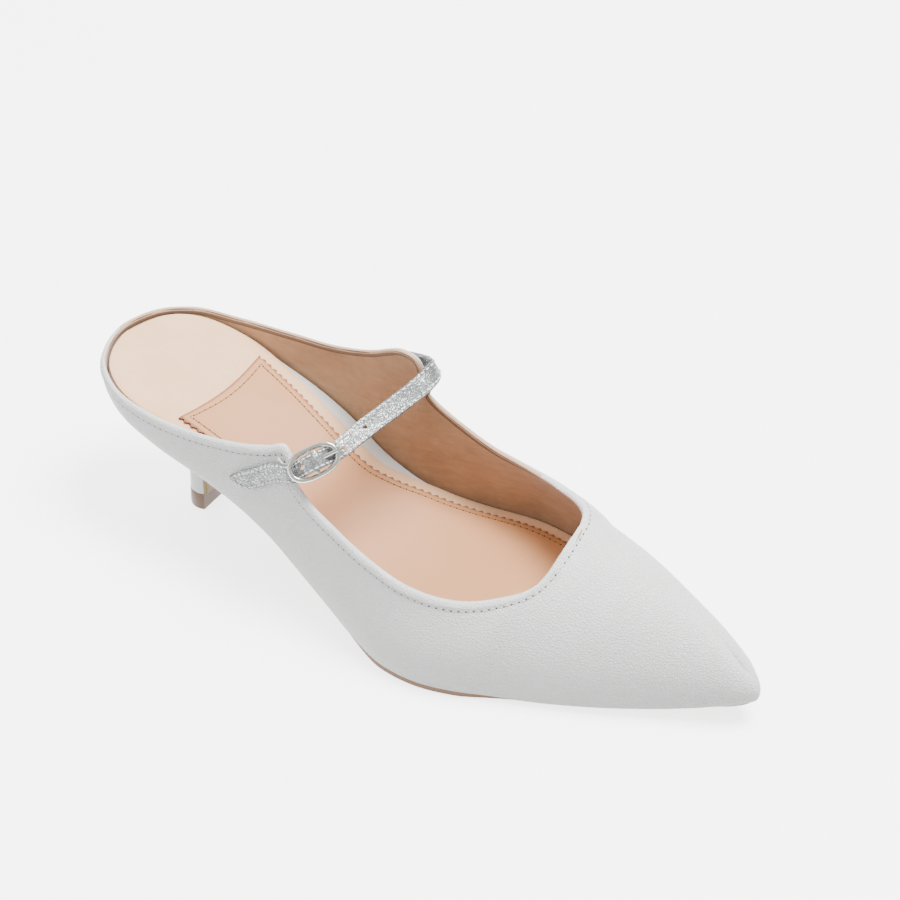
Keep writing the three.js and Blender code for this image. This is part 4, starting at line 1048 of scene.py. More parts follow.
@dataclass
class Upper:
    """The white leather upper with its lining, folded edge and stitching."""

    workshop: Workshop
    row_steps: int = 8
    skin_steps: int = 30
    lining_steps: int = 18
    rim_steps: int = 5
    lip: float = 10.0
    fold: float = 0.45
    fold_width: float = 1.0
    fold_at: float = 1.1
    groove: float = 0.16
    groove_width: float = 0.5
    stitch_line: float = 2.5
    turned_from: float = 7.5

    def shares(self, steps: int) -> np.ndarray:
        """Shares of a section, closer together towards the top edge."""
        return 1 - (1 - np.linspace(0, 1, steps + 1)) ** 1.7

    def edge_distance(self, points: np.ndarray) -> np.ndarray:
        """Distance of points from the top edge, in millimetres."""
        rim = self.workshop.last.topline.at(np.linspace(0, 1, 1600))
        flat = points.reshape(-1, 3)
        found = np.empty(len(flat))
        for k in range(0, len(flat), 2000):
            part = flat[k:k + 2000]
            found[k:k + 2000] = np.sqrt(((part[:, None, :] - rim[None]) ** 2).sum(-1).min(1))
        return found.reshape(points.shape[:-1])

    def section_rings(self, side: Side) -> tuple[np.ndarray, np.ndarray]:
        """Points and edge distances of one side's strips."""
        last = self.workshop.last
        rows = np.linspace(0, last.last_row, last.last_row * self.row_steps + 1)
        ws = self.shares(self.skin_steps)
        bare = last.outer(side, rows, ws)
        near = self.edge_distance(bare)
        puff = self.fold * np.exp(-((near - self.fold_at) / self.fold_width) ** 2)
        puff -= self.groove * np.exp(-((near - self.stitch_line) / self.groove_width) ** 2)
        skin = last.skin(side, rows, ws, -puff)
        foot = last.wall_share(side, rows, last.wall, lambda x, y: last.bottom(x) + last.wall)
        inner_ws = foot[:, None] + (1 - foot[:, None]) * self.shares(self.lining_steps)[None, :]
        lining = last.skin(side, rows, inner_ws, last.wall)
        open_rows = ease(rows, last.throat - 0.01, last.throat + 0.25)
        rim = []
        for k in range(1, self.rim_steps):
            angle = math.pi * k / self.rim_steps
            level = last.skin(side, rows, np.ones(1), last.wall / 2 * (1 - math.cos(angle)))[:, 0]
            up = unit(skin[:, -1] - skin[:, -3])
            rim.append(level + up * (last.wall * 0.55 * math.sin(angle) * open_rows)[:, None])
        spine = last.spine(rows)
        edge = last.feather(side, rows)
        inward = spine - edge
        inward[:, 2] = 0
        width = np.minimum(self.lip, 0.7 * np.linalg.norm(inward, axis=1))[:, None]
        low = edge + unit(inward) * width
        low[:, 2] = last.bottom(low[:, 0])
        high = low + np.array([0, 0, last.wall])
        strips = np.concatenate([
            low[:, None], skin, np.stack(rim, 1), lining[:, ::-1], high[:, None],
        ], axis=1)
        return strips, self.edge_distance(strips)

    def build(self) -> bpy.types.Object:
        """Build the shell, its stitches and its needle holes.

        Returns:
            The shell.
        """
        last = self.workshop.last
        points, faces, slots, near = [], [], [], []
        start = 0
        skin_top = 1 + self.skin_steps
        for side in Side:
            strips, distance = self.section_rings(side)
            rows, steps = strips.shape[:2]
            number = np.arange(rows * steps).reshape(rows, steps) + start
            for i in range(rows - 1):
                closed = i < last.throat * self.row_steps
                turned = side is Side.MEDIAL and i > self.turned_from * self.row_steps
                lining = skin_top + (1 if turned else self.rim_steps // 2 + 1)
                for j in range(steps):
                    k = (j + 1) % steps
                    if closed and skin_top <= j < skin_top + self.rim_steps:
                        continue
                    a, b, c, d = number[i, j], number[i + 1, j], number[i + 1, k], number[i, k]
                    faces.append((a, b, c, d) if side is Side.LATERAL else (d, c, b, a))
                    slots.append(int(j >= lining and k >= lining))
            points.append(strips.reshape(-1, 3))
            near.append(distance.ravel())
            start += rows * steps
        shell = self.workshop.mesh(
            "upper_shell", np.vstack(points), faces, {"from_edge": np.concatenate(near)}, slots, smooth=50)
        shell.data.materials.append(WHITE_LEATHER.build())
        shell.data.materials.append(LINING_SUEDE.build())
        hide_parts("upper")
        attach(shell, "root")
        self.stitch(shell)
        return shell

    def edge_line(self, distance: float, count: int = 300) -> np.ndarray:
        """Closed line on the outer surface at one distance from the top edge.

        Args:
            distance: Distance from the edge in millimetres.
            count: Number of points of the line.

        Returns:
            The line's points, in order round the opening.
        """
        last = self.workshop.last
        rows = np.linspace(0, last.last_row, last.last_row * self.row_steps + 1)
        found = []
        for side in Side:
            grid = last.outer(side, rows, self.shares(self.skin_steps))
            near = self.edge_distance(grid) - distance
            for a, b, at_a, at_b in (
                (grid[:-1], grid[1:], near[:-1], near[1:]),
                (grid[:, :-1], grid[:, 1:], near[:, :-1], near[:, 1:]),
            ):
                cut = at_a * at_b < 0
                share = (at_a[cut] / (at_a[cut] - at_b[cut]))[:, None]
                found.append(a[cut] + (b[cut] - a[cut]) * share)
        points = np.vstack(found)
        rim = last.topline.at(np.linspace(0, 1, 1600, endpoint=False))
        place = np.array([((rim - p) ** 2).sum(1).argmin() for p in points]) / 1600
        middles = (np.arange(count) + 0.5) / count
        bins = (place * count).astype(int)
        filled = np.array([k for k in range(count) if (bins == k).any()])
        means = np.array([points[bins == k].mean(0) for k in filled])
        line = np.stack([np.interp(middles, middles[filled], means[:, k], period=1.0) for k in range(3)], -1)
        for _ in range(3):
            line = (np.roll(line, 1, 0) + 2 * line + np.roll(line, -1, 0)) / 4
        return line

    def stitch(self, shell: bpy.types.Object) -> None:
        """Sew the line below the folded edge."""
        last = self.workshop.last
        probe = SurfaceProbe(shell)
        curve = self.edge_line(self.stitch_line)
        line, normals = [], []
        for point in last.place(np.vstack([curve, curve[:1]])):
            place, normal = probe.nearest(Vector(point))
            line.append(place)
            normals.append(normal)
        seam = Seam(self.workshop, pitch=2.5, thread=1.7, radius=0.22, sink=0.03)
        thread = seam.stitches("topline_thread", line, normals)
        self.workshop.trim(thread, Thread("white_thread", color=(0.74, 0.75, 0.74)), "upper")
        holes = seam.holes("topline_needle_holes", line, normals, 0.42)
        shade = Thread("needle_hole_shade", color=(0.09, 0.10, 0.10), roughness=0.9)
        self.workshop.trim(holes, shade, "upper")


@dataclass
class Insole:
    """Covered footbed, suede sock and smooth pad with its pinked and stitched edge."""

    workshop: Workshop
    sock_thickness: float = 0.8
    sock_margin: float = 0.5
    cut_back: float = 5.5
    pad_thickness: float = 0.9
    pad_border: float = 5.0
    pad_clearance: float = 0.4
    pad_front: float = 3.0
    pad_rear: float = 18.45
    rear_curl: float = 0.2
    tooth: float = 0.55
    tooth_pitch: float = 2.6
    stitch_inset: float = 2.4

    def build(self) -> None:
        """Build the three layers and the stitching."""
        self.footbed()
        self.sock()
        self.pad()

    def footbed(self) -> None:
        """The white-covered footbed that shows along the arch."""
        last = self.workshop.last
        rows = np.linspace(0, last.last_row, last.last_row * 5 + 1)
        across = 12
        rings = []
        edges = {}
        for side in Side:
            low = last.bed_edge(side, rows, 0.0)
            middle = last.bed_edge(side, rows, 0.5)
            under = last.bed_edge(side, rows, 1.0, drop=0.9)
            top = last.drawn_in(last.bed_edge(side, rows, 1.0), rows, 0.7)
            edges[side] = (low, middle, under, top)
        lateral, medial = edges[Side.LATERAL], edges[Side.MEDIAL]
        shares = np.linspace(0, 1, across + 1)
        for share in shares:
            point = lateral[0] + (medial[0] - lateral[0]) * share
            point[:, 2] = last.bottom(point[:, 0]) + last.wall + last.gap
            rings.append(point)
        rings += [medial[1], medial[2]]
        for share in shares[::-1]:
            point = lateral[3] + (medial[3] - lateral[3]) * share
            point[:, 2] = last.bed(point[:, 0], point[:, 1])
            rings.append(point)
        rings += [lateral[2], lateral[1]]
        piece = self.workshop.loft("footbed_cover", np.stack(rings, 1), ends="run_out", smooth=50)
        self.workshop.dress(piece, WHITE_COVER, "footbed")

    def sock_edge(self, side: Side, rows: np.ndarray) -> np.ndarray:
        """Edge of the sock, cut back along the arch."""
        last = self.workshop.last
        arch = np.clip(1 - ((rows - 14.5) / 4.2) ** 2, 0, 1) if side is Side.MEDIAL else 0 * rows
        inset = self.sock_margin + self.cut_back * arch * arch * (3 - 2 * arch)
        return last.drawn_in(last.bed_edge(side, rows), rows, inset)

    def sock(self) -> None:
        """The suede sock over the footbed."""
        last = self.workshop.last
        rows = np.linspace(0, last.last_row, last.last_row * 6 + 1)
        lateral, medial = self.sock_edge(Side.LATERAL, rows), self.sock_edge(Side.MEDIAL, rows)
        shares = np.concatenate([[0, 0.012], np.linspace(0.04, 0.96, 15), [0.988, 1]])
        grid = lateral[:, None] + (medial - lateral)[:, None] * shares[None, :, None]
        bed = last.bed(grid[..., 0], grid[..., 1])
        edge = np.minimum(shares, 1 - shares)[None, :] * np.linalg.norm(medial - lateral, axis=1)[:, None]
        high = bed + last.gap + self.sock_thickness * (0.62 + 0.38 * ease(edge, 0.0, 0.9))
        piece = self.workshop.plate("sock_suede", grid, bed + last.gap * 0.4, high, smooth=50)
        self.workshop.dress(piece, SOCK_SUEDE, "sock")

    def pad_line(self, share: float, rows: np.ndarray, border: float) -> np.ndarray:
        """Line along the pad at a share across, with the border left at its edges."""
        last = self.workshop.last
        bend = 0.5 - share - 0.6 * math.sin(math.pi * share)
        rear = ease(rows, self.pad_rear - 2, self.pad_rear)
        there = rows + rear * self.rear_curl * bend
        lateral = last.drawn_in(self.sock_edge(Side.LATERAL, there), there, border)
        medial = last.drawn_in(self.sock_edge(Side.MEDIAL, there), there, border)
        return lateral + (medial - lateral) * share

    def pad_top(self, x: np.ndarray, y: np.ndarray) -> np.ndarray:
        """Height of the pad's surface."""
        last = self.workshop.last
        return last.bed(x, y) + last.gap + self.sock_thickness + self.pad_clearance + self.pad_thickness

    def pad(self) -> None:
        """The smooth pad, its pinked sides and its gold stitching."""
        last = self.workshop.last
        middle = self.pad_line(0.5, np.linspace(self.pad_front, self.pad_rear, 400), self.pad_border)
        length = np.linalg.norm(np.diff(middle, axis=0), axis=1).sum()
        teeth = int(length / self.tooth_pitch) * 2
        steps = np.concatenate([[0], np.cumsum(np.linalg.norm(np.diff(middle, axis=0), axis=1))]) / length
        rows = np.interp(np.linspace(0, 1, teeth + 1), steps, np.linspace(self.pad_front, self.pad_rear, 400))
        border = np.array([0, 0.008, 0.02, 0.035])
        shares = np.concatenate([border, np.linspace(0.06, 0.94, 17), 1 - border[::-1]])
        grid = np.stack([self.pad_line(s, rows, self.pad_border) for s in shares], 1)
        zigzag = np.where(np.arange(len(rows)) % 2 == 0, self.tooth, -self.tooth)[:, None]
        out = unit(grid[:, 0] - grid[:, -1])
        grid[:, 0] += out * zigzag
        grid[:, -1] -= out * zigzag
        top = self.pad_top(grid[..., 0], grid[..., 1])
        span = np.linalg.norm(grid[:, -1] - grid[:, 0], axis=1)[:, None]
        edge = np.minimum(shares, 1 - shares)[None, :] * span
        rear = (rows[-1] - rows)[:, None] * 14.0
        fall = 0.35 * (1 - ease(np.minimum(edge, rear + 0 * edge), 0.0, 1.4))
        groove = 0.14 * np.exp(-((np.minimum(edge, rear + 0 * edge) - self.stitch_inset) / 0.5) ** 2)
        low = top - self.pad_thickness - self.pad_clearance * 0.6
        # from_edge drives the painted shade that darkens the pad near its edge.
        tags = {"from_edge": np.minimum(edge, rear + 0 * edge)}
        piece = self.workshop.plate("sock_pad_leather", grid, low, top - fall - groove, tags, smooth=40)
        self.workshop.dress(piece, PAD_LEATHER, "sock_pad")
        self.stitch()

    def stitch(self) -> None:
        """Sew the pad along its sides and rear edge."""
        last = self.workshop.last
        rows = np.linspace(self.pad_front + 0.3, self.pad_rear - 0.16, 500)
        inset = self.pad_border + self.stitch_inset
        lateral = self.pad_line(0.0, rows, inset)
        medial = self.pad_line(1.0, rows, inset)
        shares = np.linspace(0, 1, 60)[1:-1]
        rear = np.array([self.pad_line(s, rows[-1:], inset)[0] for s in shares])
        line = np.vstack([lateral, rear, medial[::-1]])
        line[:, 2] = self.pad_top(line[:, 0], line[:, 1])
        step = 0.5
        x, y = line[:, 0], line[:, 1]
        slope_x = (self.pad_top(x + step, y) - self.pad_top(x - step, y)) / (2 * step)
        slope_y = (self.pad_top(x, y + step) - self.pad_top(x, y - step)) / (2 * step)
        normals = unit(np.stack([-slope_x, -slope_y, np.ones(len(line))], -1))
        places = [Vector(p) for p in last.place(line)]
        outs = [Vector(v) for v in normals]
        seam = Seam(self.workshop, pitch=2.3, thread=1.45, radius=0.24, sink=-0.02)
        thread = seam.stitches("pad_thread", places, outs)
        gold = Thread("gold_thread", color=(0.42, 0.24, 0.05), roughness=0.45)
        self.workshop.trim(thread, gold, "sock_pad")
        holes = seam.holes("pad_needle_holes", places, outs, 0.38)
        shade = Thread("pad_hole_shade", color=(0.11, 0.05, 0.02), roughness=0.9)
        self.workshop.trim(holes, shade, "sock_pad")


@dataclass
class Bottom:
    """Outsole, heel, breast cover and top piece."""

    workshop: Workshop
    sole_thickness: float = 1.7
    rear_row: float = 17.85
    edge_inset: float = 2.4
    waist_inset: float = 2.5
    set_in: float = 34.6
    tip_width: float = 11.2
    top_piece_height: float = 6.8
    breast_thickness: float = 0.9
    breast_flat: float = 0.42
    seat_front: float = 18.0
    seat_inset: float = 1.2
    sections: tuple = (
        (0.00, 0.00), (0.22, 0.00), (0.42, 0.03), (0.58, 0.09), (0.72, 0.20),
        (0.83, 0.38), (0.92, 0.64), (0.97, 0.84), (1.00, 0.97),
    )
    steps: int = 64

    def build(self) -> None:
        """Build every piece of the bottom."""
        self.outsole()
        self.heel()
        self.breast()
        self.top_piece()

    def sole_edge(self, side: Side, rows: np.ndarray) -> np.ndarray:
        """Edge of the outsole, flush at the outer ball and drawn in elsewhere."""
        last = self.workshop.last
        waist = ease(rows, 9, 12)
        ball = ease(rows, 5, 7) * (1 - ease(rows, 9, 11.5)) if side is Side.LATERAL else 0 * rows
        inset = self.edge_inset + (self.waist_inset - self.edge_inset) * waist
        return last.drawn_in(last.feather(side, rows), rows, inset + (0.1 - inset) * ball)

    def outsole(self) -> None:
        """The thin sole."""
        last = self.workshop.last
        rows = np.concatenate([np.linspace(0, 17.5, 141), [self.rear_row]])
        lateral, medial = self.sole_edge(Side.LATERAL, rows), self.sole_edge(Side.MEDIAL, rows)
        shares = np.linspace(0, 1, 13)
        grid = lateral[:, None] + (medial - lateral)[:, None] * shares[None, :, None]
        under = last.bottom(grid[..., 0]) - last.gap
        ground = under - self.sole_thickness
        piece = self.workshop.plate("outsole_leather", grid, ground, under + 0.2, smooth=40)
        self.workshop.dress(piece, SOLE_EDGE, "outsole")

    def tip_outline(self, shares: np.ndarray, grow: float = 0.0) -> np.ndarray:
        """Round foot of the heel with its flat front."""
        radius = self.tip_width / 2 + grow
        half = math.pi - math.acos(self.breast_flat)
        angle = math.pi + half * (1 - 2 * shares)
        return np.stack([self.set_in + radius * np.cos(angle), radius * np.sin(angle), 0 * angle], -1)

    def ring(self, rise: float, spread: float) -> np.ndarray:
        """One level of the heel."""
        last = self.workshop.last
        shares = np.linspace(0, 1, self.steps + 1)
        rows = self.seat_front + (last.last_row - self.seat_front) * (1 - np.abs(1 - 2 * shares))
        lateral = last.drawn_in(last.feather(Side.LATERAL, rows), rows, self.seat_inset)
        medial = last.drawn_in(last.feather(Side.MEDIAL, rows), rows, self.seat_inset)
        seat = np.where((shares < 0.5)[:, None], lateral, medial)
        seat[:, 2] = 0
        points = self.tip_outline(shares) * (1 - spread) + seat * spread
        floor = self.top_piece_height + last.gap
        points[:, 2] = floor + (last.bottom(points[:, 0]) - last.gap - floor) * rise
        return points

    def levels(self, count: int) -> list[tuple[float, float]]:
        """Finer levels of the heel through its table."""
        rises = [s[0] for s in self.sections]
        spreads = [s[1] for s in self.sections]
        fine = 1 - (1 - np.linspace(0, 1, count)) ** 1.5
        return list(zip(fine, monotone(rises, spreads, fine)))

    def heel(self) -> None:
        """The covered heel."""
        rings = np.stack([self.ring(rise, spread) for rise, spread in self.levels(34)])
        piece = self.workshop.loft("heel_cover", rings, smooth=35)
        self.workshop.dress(piece, WHITE_COVER, "heel")

    def breast(self) -> None:
        """The leather on the heel's flat front."""
        last = self.workshop.last
        fronts = [self.ring(rise, spread)[0] for rise, spread in self.levels(34)[:-3]]
        rings = []
        for i, point in enumerate(fronts):
            above, below = fronts[min(i + 1, len(fronts) - 1)], fronts[max(i - 1, 0)]
            forward = unit(np.array([above[2] - below[2], 0.0, below[0] - above[0]]))
            half = abs(point[1])

            def at(depth: float, y: float) -> np.ndarray:
                """Corner of the cover at a depth and a place across."""
                return np.array([point[0], y, point[2]]) + forward * depth

            thick = last.gap + self.breast_thickness
            rings.append([
                at(0.05, -half * 0.97), at(thick * 0.7, -half * 0.95), at(thick, -half * 0.88),
                at(thick, half * 0.88), at(thick * 0.7, half * 0.95), at(0.05, half * 0.97),
            ])
        piece = self.workshop.loft("breast_leather", np.array(rings), smooth=35)
        self.workshop.dress(piece, BREAST_LEATHER, "breast_cover")

    def top_piece(self) -> None:
        """The brown lift under the heel."""
        shares = np.linspace(0, 1, self.steps + 1)
        height = self.top_piece_height
        levels = ((0.0, -0.2), (0.25, 0.1), (0.7, 0.2), (4.0, 0.15), (height, 0.1), (height + 0.2, 0.0))
        rings = []
        for height, grow in levels:
            ring = self.tip_outline(shares, grow)
            ring[:, 2] = height
            rings.append(ring)
        piece = self.workshop.loft("top_piece_lift", np.stack(rings), smooth=35)
        self.workshop.dress(piece, LIFT, "top_piece")


@dataclass
class StrapAndBuckle:
    """Glitter strap, buckle, prong and the white loop that holds the bar."""

    workshop: Workshop
    width: float = 7.0
    thickness: float = 1.4
    ease: float = 0.25
    buckle_length: float = 18.2
    buckle_width: float = 11.0
    wire: float = 1.7
    bar: float = 1.4
    prong: float = 1.3
    loop_width: float = 5.2
    loop_thickness: float = 0.8
    punch: float = 1.3
    centre: tuple = (98.75, -25.33, 62.68)
    out: tuple = (0.40, -0.62, 0.68)
    course: tuple = (0.55, 0.80, 0.26)
    front_hole: tuple = (0.423, -0.071, 0.812, (0.3, -0.3, 0.9))

    def __post_init__(self) -> None:
        """Work out the buckle's own axes."""
        self.at_centre = np.array(self.centre)
        self.n = unit(np.array(self.out))
        self.across = unit(np.cross(self.n, np.array(self.course)))
        self.along = unit(np.cross(self.across, self.n))
        last = self.workshop.last
        self.bar_lift = self.bar / 2 + 2 * last.gap + self.loop_thickness + self.thickness / 2
        self.arc_drop = self.wire / 2 + last.gap + self.thickness / 2
        self.arc_at = (self.buckle_length - self.wire) / 2

    def at(self, along: float, across: float, out: float) -> np.ndarray:
        """A place in the buckle's own axes."""
        return self.at_centre + self.along * along + self.across * across + self.n * out

    def on_skin(self, side: Side, row: float, w: float, lift: float, wide: float = 1.0) -> tuple:
        """A station on the outside of the upper."""
        last = self.workshop.last
        place = last.skin(side, np.array([row]), np.array([w]), -lift)[0, 0]
        base = last.skin(side, np.array([row]), np.array([w]), 0.0)[0, 0]
        return place, unit(place - base), wide, None

    def over_instep(self, share: float, side: float, rise: float) -> np.ndarray:
        """A place over the foot, as shares of length, ball width and instep height."""
        last = self.workshop.last
        root = float(last.bottom(0.352 * last.length))
        return np.array([share * last.length, side * last.ball_width, root + rise * last.instep_height])

    def stations(self) -> list[tuple]:
        """Places, facings and widths along the strap."""
        last = self.workshop.last
        lift = last.gap + self.thickness / 2
        over_loop = lift + self.loop_thickness + last.gap

        def under_arc(along: float, out: float, wide: float) -> tuple:
            """A station in the buckle's axes."""
            return self.at(along, 0, out), self.n, wide, None

        def over_foot(share: float, side: float, rise: float, face: tuple) -> tuple:
            """A free station over the instep, as shares of the last's sizes."""
            return self.over_instep(share, side, rise), unit(np.array(face, float)), 1.0, None

        return [
            self.on_skin(Side.MEDIAL, 16.0, 0.80, lift + self.ease),
            self.on_skin(Side.MEDIAL, 15.4, 0.83, lift + self.ease),
            self.on_skin(Side.MEDIAL, 14.9, 0.86, lift + self.ease),
            self.on_skin(Side.MEDIAL, 14.4, 0.89, lift + self.ease),
            over_foot(0.454, 0.322, 0.965, (0.7, 0.6, 0.4)),
            over_foot(0.458, 0.240, 0.946, (0.5, 0, 0.85)),
            over_foot(0.443, 0.104, 0.880, (0.35, -0.25, 0.9)),
            over_foot(*self.front_hole),
            under_arc(self.arc_at, -self.arc_drop - self.ease, 0.88),
            under_arc(0.72 * self.arc_at, -self.arc_drop - self.ease, 0.85),
            under_arc(0.36 * self.arc_at, 0.60 * self.bar_lift, 0.88),
            under_arc(0, self.bar_lift, 0.88),
            under_arc(-0.36 * self.arc_at, 0.60 * self.bar_lift, 0.88),
            under_arc(-0.72 * self.arc_at, -self.arc_drop - self.ease, 0.85),
            under_arc(-self.arc_at, -self.arc_drop - 2 * self.ease, 0.9),
            self.on_skin(Side.LATERAL, 14.9, 0.79, over_loop + self.ease),
            self.on_skin(Side.LATERAL, 15.6, 0.74, lift + 2 * self.ease),
            self.on_skin(Side.LATERAL, 16.15, 0.69, lift + self.ease),
            self.on_skin(Side.LATERAL, 16.6, 0.60, lift + self.ease),
            self.on_skin(Side.LATERAL, 17.0, 0.575, lift + self.ease, 0.15),
        ]

    def ribbon_frames(self, stations: list[tuple], steps: int) -> tuple:
        """Centres, ways across, ways out and half widths shares along a ribbon."""
        path = Spline(np.array([s[0] for s in stations]))
        last_station = len(stations) - 1
        knots = np.arange(last_station + 1) / last_station
        tangents = path.tangent(knots)
        ways = np.array([
            s[3] if s[3] is not None else unit(np.cross(s[1], tangents[k])) for k, s in enumerate(stations)
        ])
        t = np.linspace(0, 1, steps + 1)
        place = t * last_station
        k = np.minimum(place.astype(int), last_station - 1)
        local = (place - k)[:, None]
        along = path.tangent(t)
        across = ways[k] * (1 - local) + ways[k + 1] * local
        across = unit(across - along * (across * along).sum(1, keepdims=True))
        wide = np.interp(t, knots, [s[2] for s in stations])
        return path.at(t), across, np.cross(along, across), wide

    def ribbon(self, name: str, stations: list[tuple], width: float, thickness: float, steps: int,
               profile: Sequence[tuple[float, float]]) -> bpy.types.Object:
        """Build a ribbon with a rounded profile.

        Args:
            name: Name of the piece.
            stations: Places along the ribbon.
            width: Full width.
            thickness: Full thickness.
            steps: Sections along it.
            profile: Shares of half the width and half the thickness round the section.

        Returns:
            The new object.
        """
        centre, across, out, wide = self.ribbon_frames(stations, steps)
        ring = [
            centre + across * (a * width / 2 * wide)[:, None] + out * (o * thickness / 2)
            for a, o in profile
        ]
        return self.workshop.loft(name, np.stack(ring, 1), smooth=40)

    def build(self) -> None:
        """Build the strap, its stitches, the buckle, the prong and the loop."""
        self.strap()
        self.buckle()
        self.pin()
        self.loop()

    def strap(self) -> None:
        """The glitter strap with its rows of white stitches."""
        profile = [
            (-1, -0.55), (-0.97, -0.9), (-0.5, -1), (0, -1), (0.5, -1), (0.97, -0.9), (1, -0.55),
            (1, 0.5), (0.97, 0.85), (0.86, 1.02), (0.70, 0.86), (0.52, 1.02), (0.25, 1.1), (0, 1.1),
            (-0.25, 1.1), (-0.52, 1.02), (-0.70, 0.86), (-0.86, 1.02), (-0.97, 0.85), (-1, 0.5),
        ]
        stations = self.stations()
        piece = self.ribbon("glitter_strap", stations, self.width, self.thickness, 300, profile)
        self.punch_holes(piece)
        self.workshop.dress(piece, GlitterCloth("silver_glitter"), "strap")
        last = self.workshop.last
        centre, across, out, wide = self.ribbon_frames(stations, 600)
        threads = []
        for share in (-0.74, 0.74):
            shift = (share * self.width / 2 * wide)[:, None]
            line = centre + across * shift + out * (0.9 * self.thickness / 2)
            places = [Vector(p) for p in last.place(line)][6:-8]
            seam = Seam(self.workshop, pitch=2.1, thread=1.6, radius=0.32, sink=0.16)
            threads.append(seam.stitches("strap_thread", places, [Vector(v) for v in out][6:-8]))
        thread = self.workshop.join(threads, "strap_thread")
        self.workshop.trim(thread, Thread("strap_white_thread", color=(0.95, 0.96, 0.96)), "strap")

    def punch_holes(self, piece: bpy.types.Object) -> None:
        """Cut the punched holes through the strap."""
        last = self.workshop.last
        places = [
            (self.at(self.arc_at + 1.6 * self.wire, 0, -self.arc_drop), self.n),
            (self.at(-0.5 * self.arc_at, 0, 0), self.n),
            (self.over_instep(*self.front_hole[:3]), unit(np.array(self.front_hole[3]))),
        ]
        for place, face in places:
            bpy.ops.object.select_all(action="DESELECT")
            bpy.ops.mesh.primitive_cylinder_add(
                vertices=20, radius=self.punch / 2 * MM, depth=8 * MM, location=Vector(last.place(place)),
                rotation=Vector(face).to_track_quat("Z", "Y").to_euler())
            cutter = bpy.context.active_object
            bpy.ops.object.transform_apply(location=True, rotation=True, scale=True)
            bpy.ops.object.select_all(action="DESELECT")
            piece.select_set(True)
            bpy.context.view_layer.objects.active = piece
            cut = piece.modifiers.new("punch", "BOOLEAN")
            cut.operation, cut.object, cut.solver = "DIFFERENCE", cutter, "EXACT"
            bpy.ops.object.modifier_apply(modifier=cut.name)
            bpy.data.objects.remove(cutter)

    def tube(self, name: str, points: np.ndarray, normal: np.ndarray, half_wide: float, half_high: float,
             closed: bool = True) -> bpy.types.Object:
        """Flattened tube along a planar line.

        Args:
            name: Name of the piece.
            points: Line in millimetres.
            normal: Normal of its plane.
            half_wide: Half of the tube's width in the plane.
            half_high: Half of its height out of the plane.
            closed: Whether the line closes on itself.

        Returns:
            The new object.
        """
        if closed:
            along = unit(np.roll(points, -1, 0) - np.roll(points, 1, 0))
        else:
            along = unit(np.gradient(points, axis=0))
        side = unit(np.cross(along, normal))
        rings = []
        for k in range(20):
            angle = 2 * math.pi * k / 20
            c, s = math.cos(angle), math.sin(angle)
            wide = math.copysign(abs(c) ** 0.75, c) * half_wide
            high = math.copysign(abs(s) ** 0.75, s) * half_high
            rings.append(points + side * wide + normal * high)
        return self.workshop.loft(name, np.stack(rings, 1), ends="joined" if closed else "capped", smooth=60)

    def buckle(self) -> None:
        """The oval frame and its bar."""
        half_length, half_width = (self.buckle_length - self.wire) / 2, (self.buckle_width - self.wire) / 2
        angle = np.linspace(0, 2 * math.pi, 97)[:-1]
        c, s = np.cos(angle), np.sin(angle)
        a = np.sign(c) * np.abs(c) ** 0.8 * half_length
        b = np.sign(s) * np.abs(s) ** 0.8 * half_width
        line = self.at_centre + self.along * a[:, None] + self.across * b[:, None]
        ring = self.tube("buckle_frame", line, self.n, self.wire / 2, self.wire * 0.44)
        bar_line = np.array([self.at(0, v, 0) for v in np.linspace(-half_width, half_width, 5)])
        bar = self.tube("buckle_bar", bar_line, self.n, self.bar / 2, self.bar / 2, closed=False)
        self.workshop.dress(self.workshop.join([ring, bar], "buckle_frame"), Metal("buckle_silver"), "buckle")

    def pin(self) -> None:
        """The prong: a ring round the bar and a pin that rests on the arc."""
        last = self.workshop.last
        radius = self.bar / 2 + last.gap + self.prong / 2
        angle = np.linspace(0, 2 * math.pi, 33)[:-1]
        c, s = (radius * np.cos(angle))[:, None], (radius * np.sin(angle))[:, None]
        circle = self.at_centre + self.along * c + self.n * s
        ring = self.tube("prong_ring", circle, self.across, self.prong / 2, self.prong / 2)
        rest = self.wire / 2 + last.gap + self.prong / 2
        start, end = self.at(0, 0, radius), self.at(self.arc_at + 0.6, 0, rest)
        line = np.array([start + (end - start) * t for t in (0, 0.3, 0.6, 0.85, 0.95, 1.0)])
        half = self.prong / 2 * 0.95
        pin = self.tube("prong_pin", line, self.across, half, half, closed=False)
        self.workshop.dress(self.workshop.join([ring, pin], "buckle_prong"), Metal("prong_silver"), "prong")

    def loop(self) -> None:
        """The white leather loop round the bar, in two ears beside the prong."""
        last = self.workshop.last
        radius = self.bar / 2 + last.gap + self.loop_thickness / 2

        def turn(along: float, out: float, shift: float) -> tuple:
            """A station of the loop in the buckle's axes."""
            return self.at(along, shift, out), self.n, 1.0, self.across

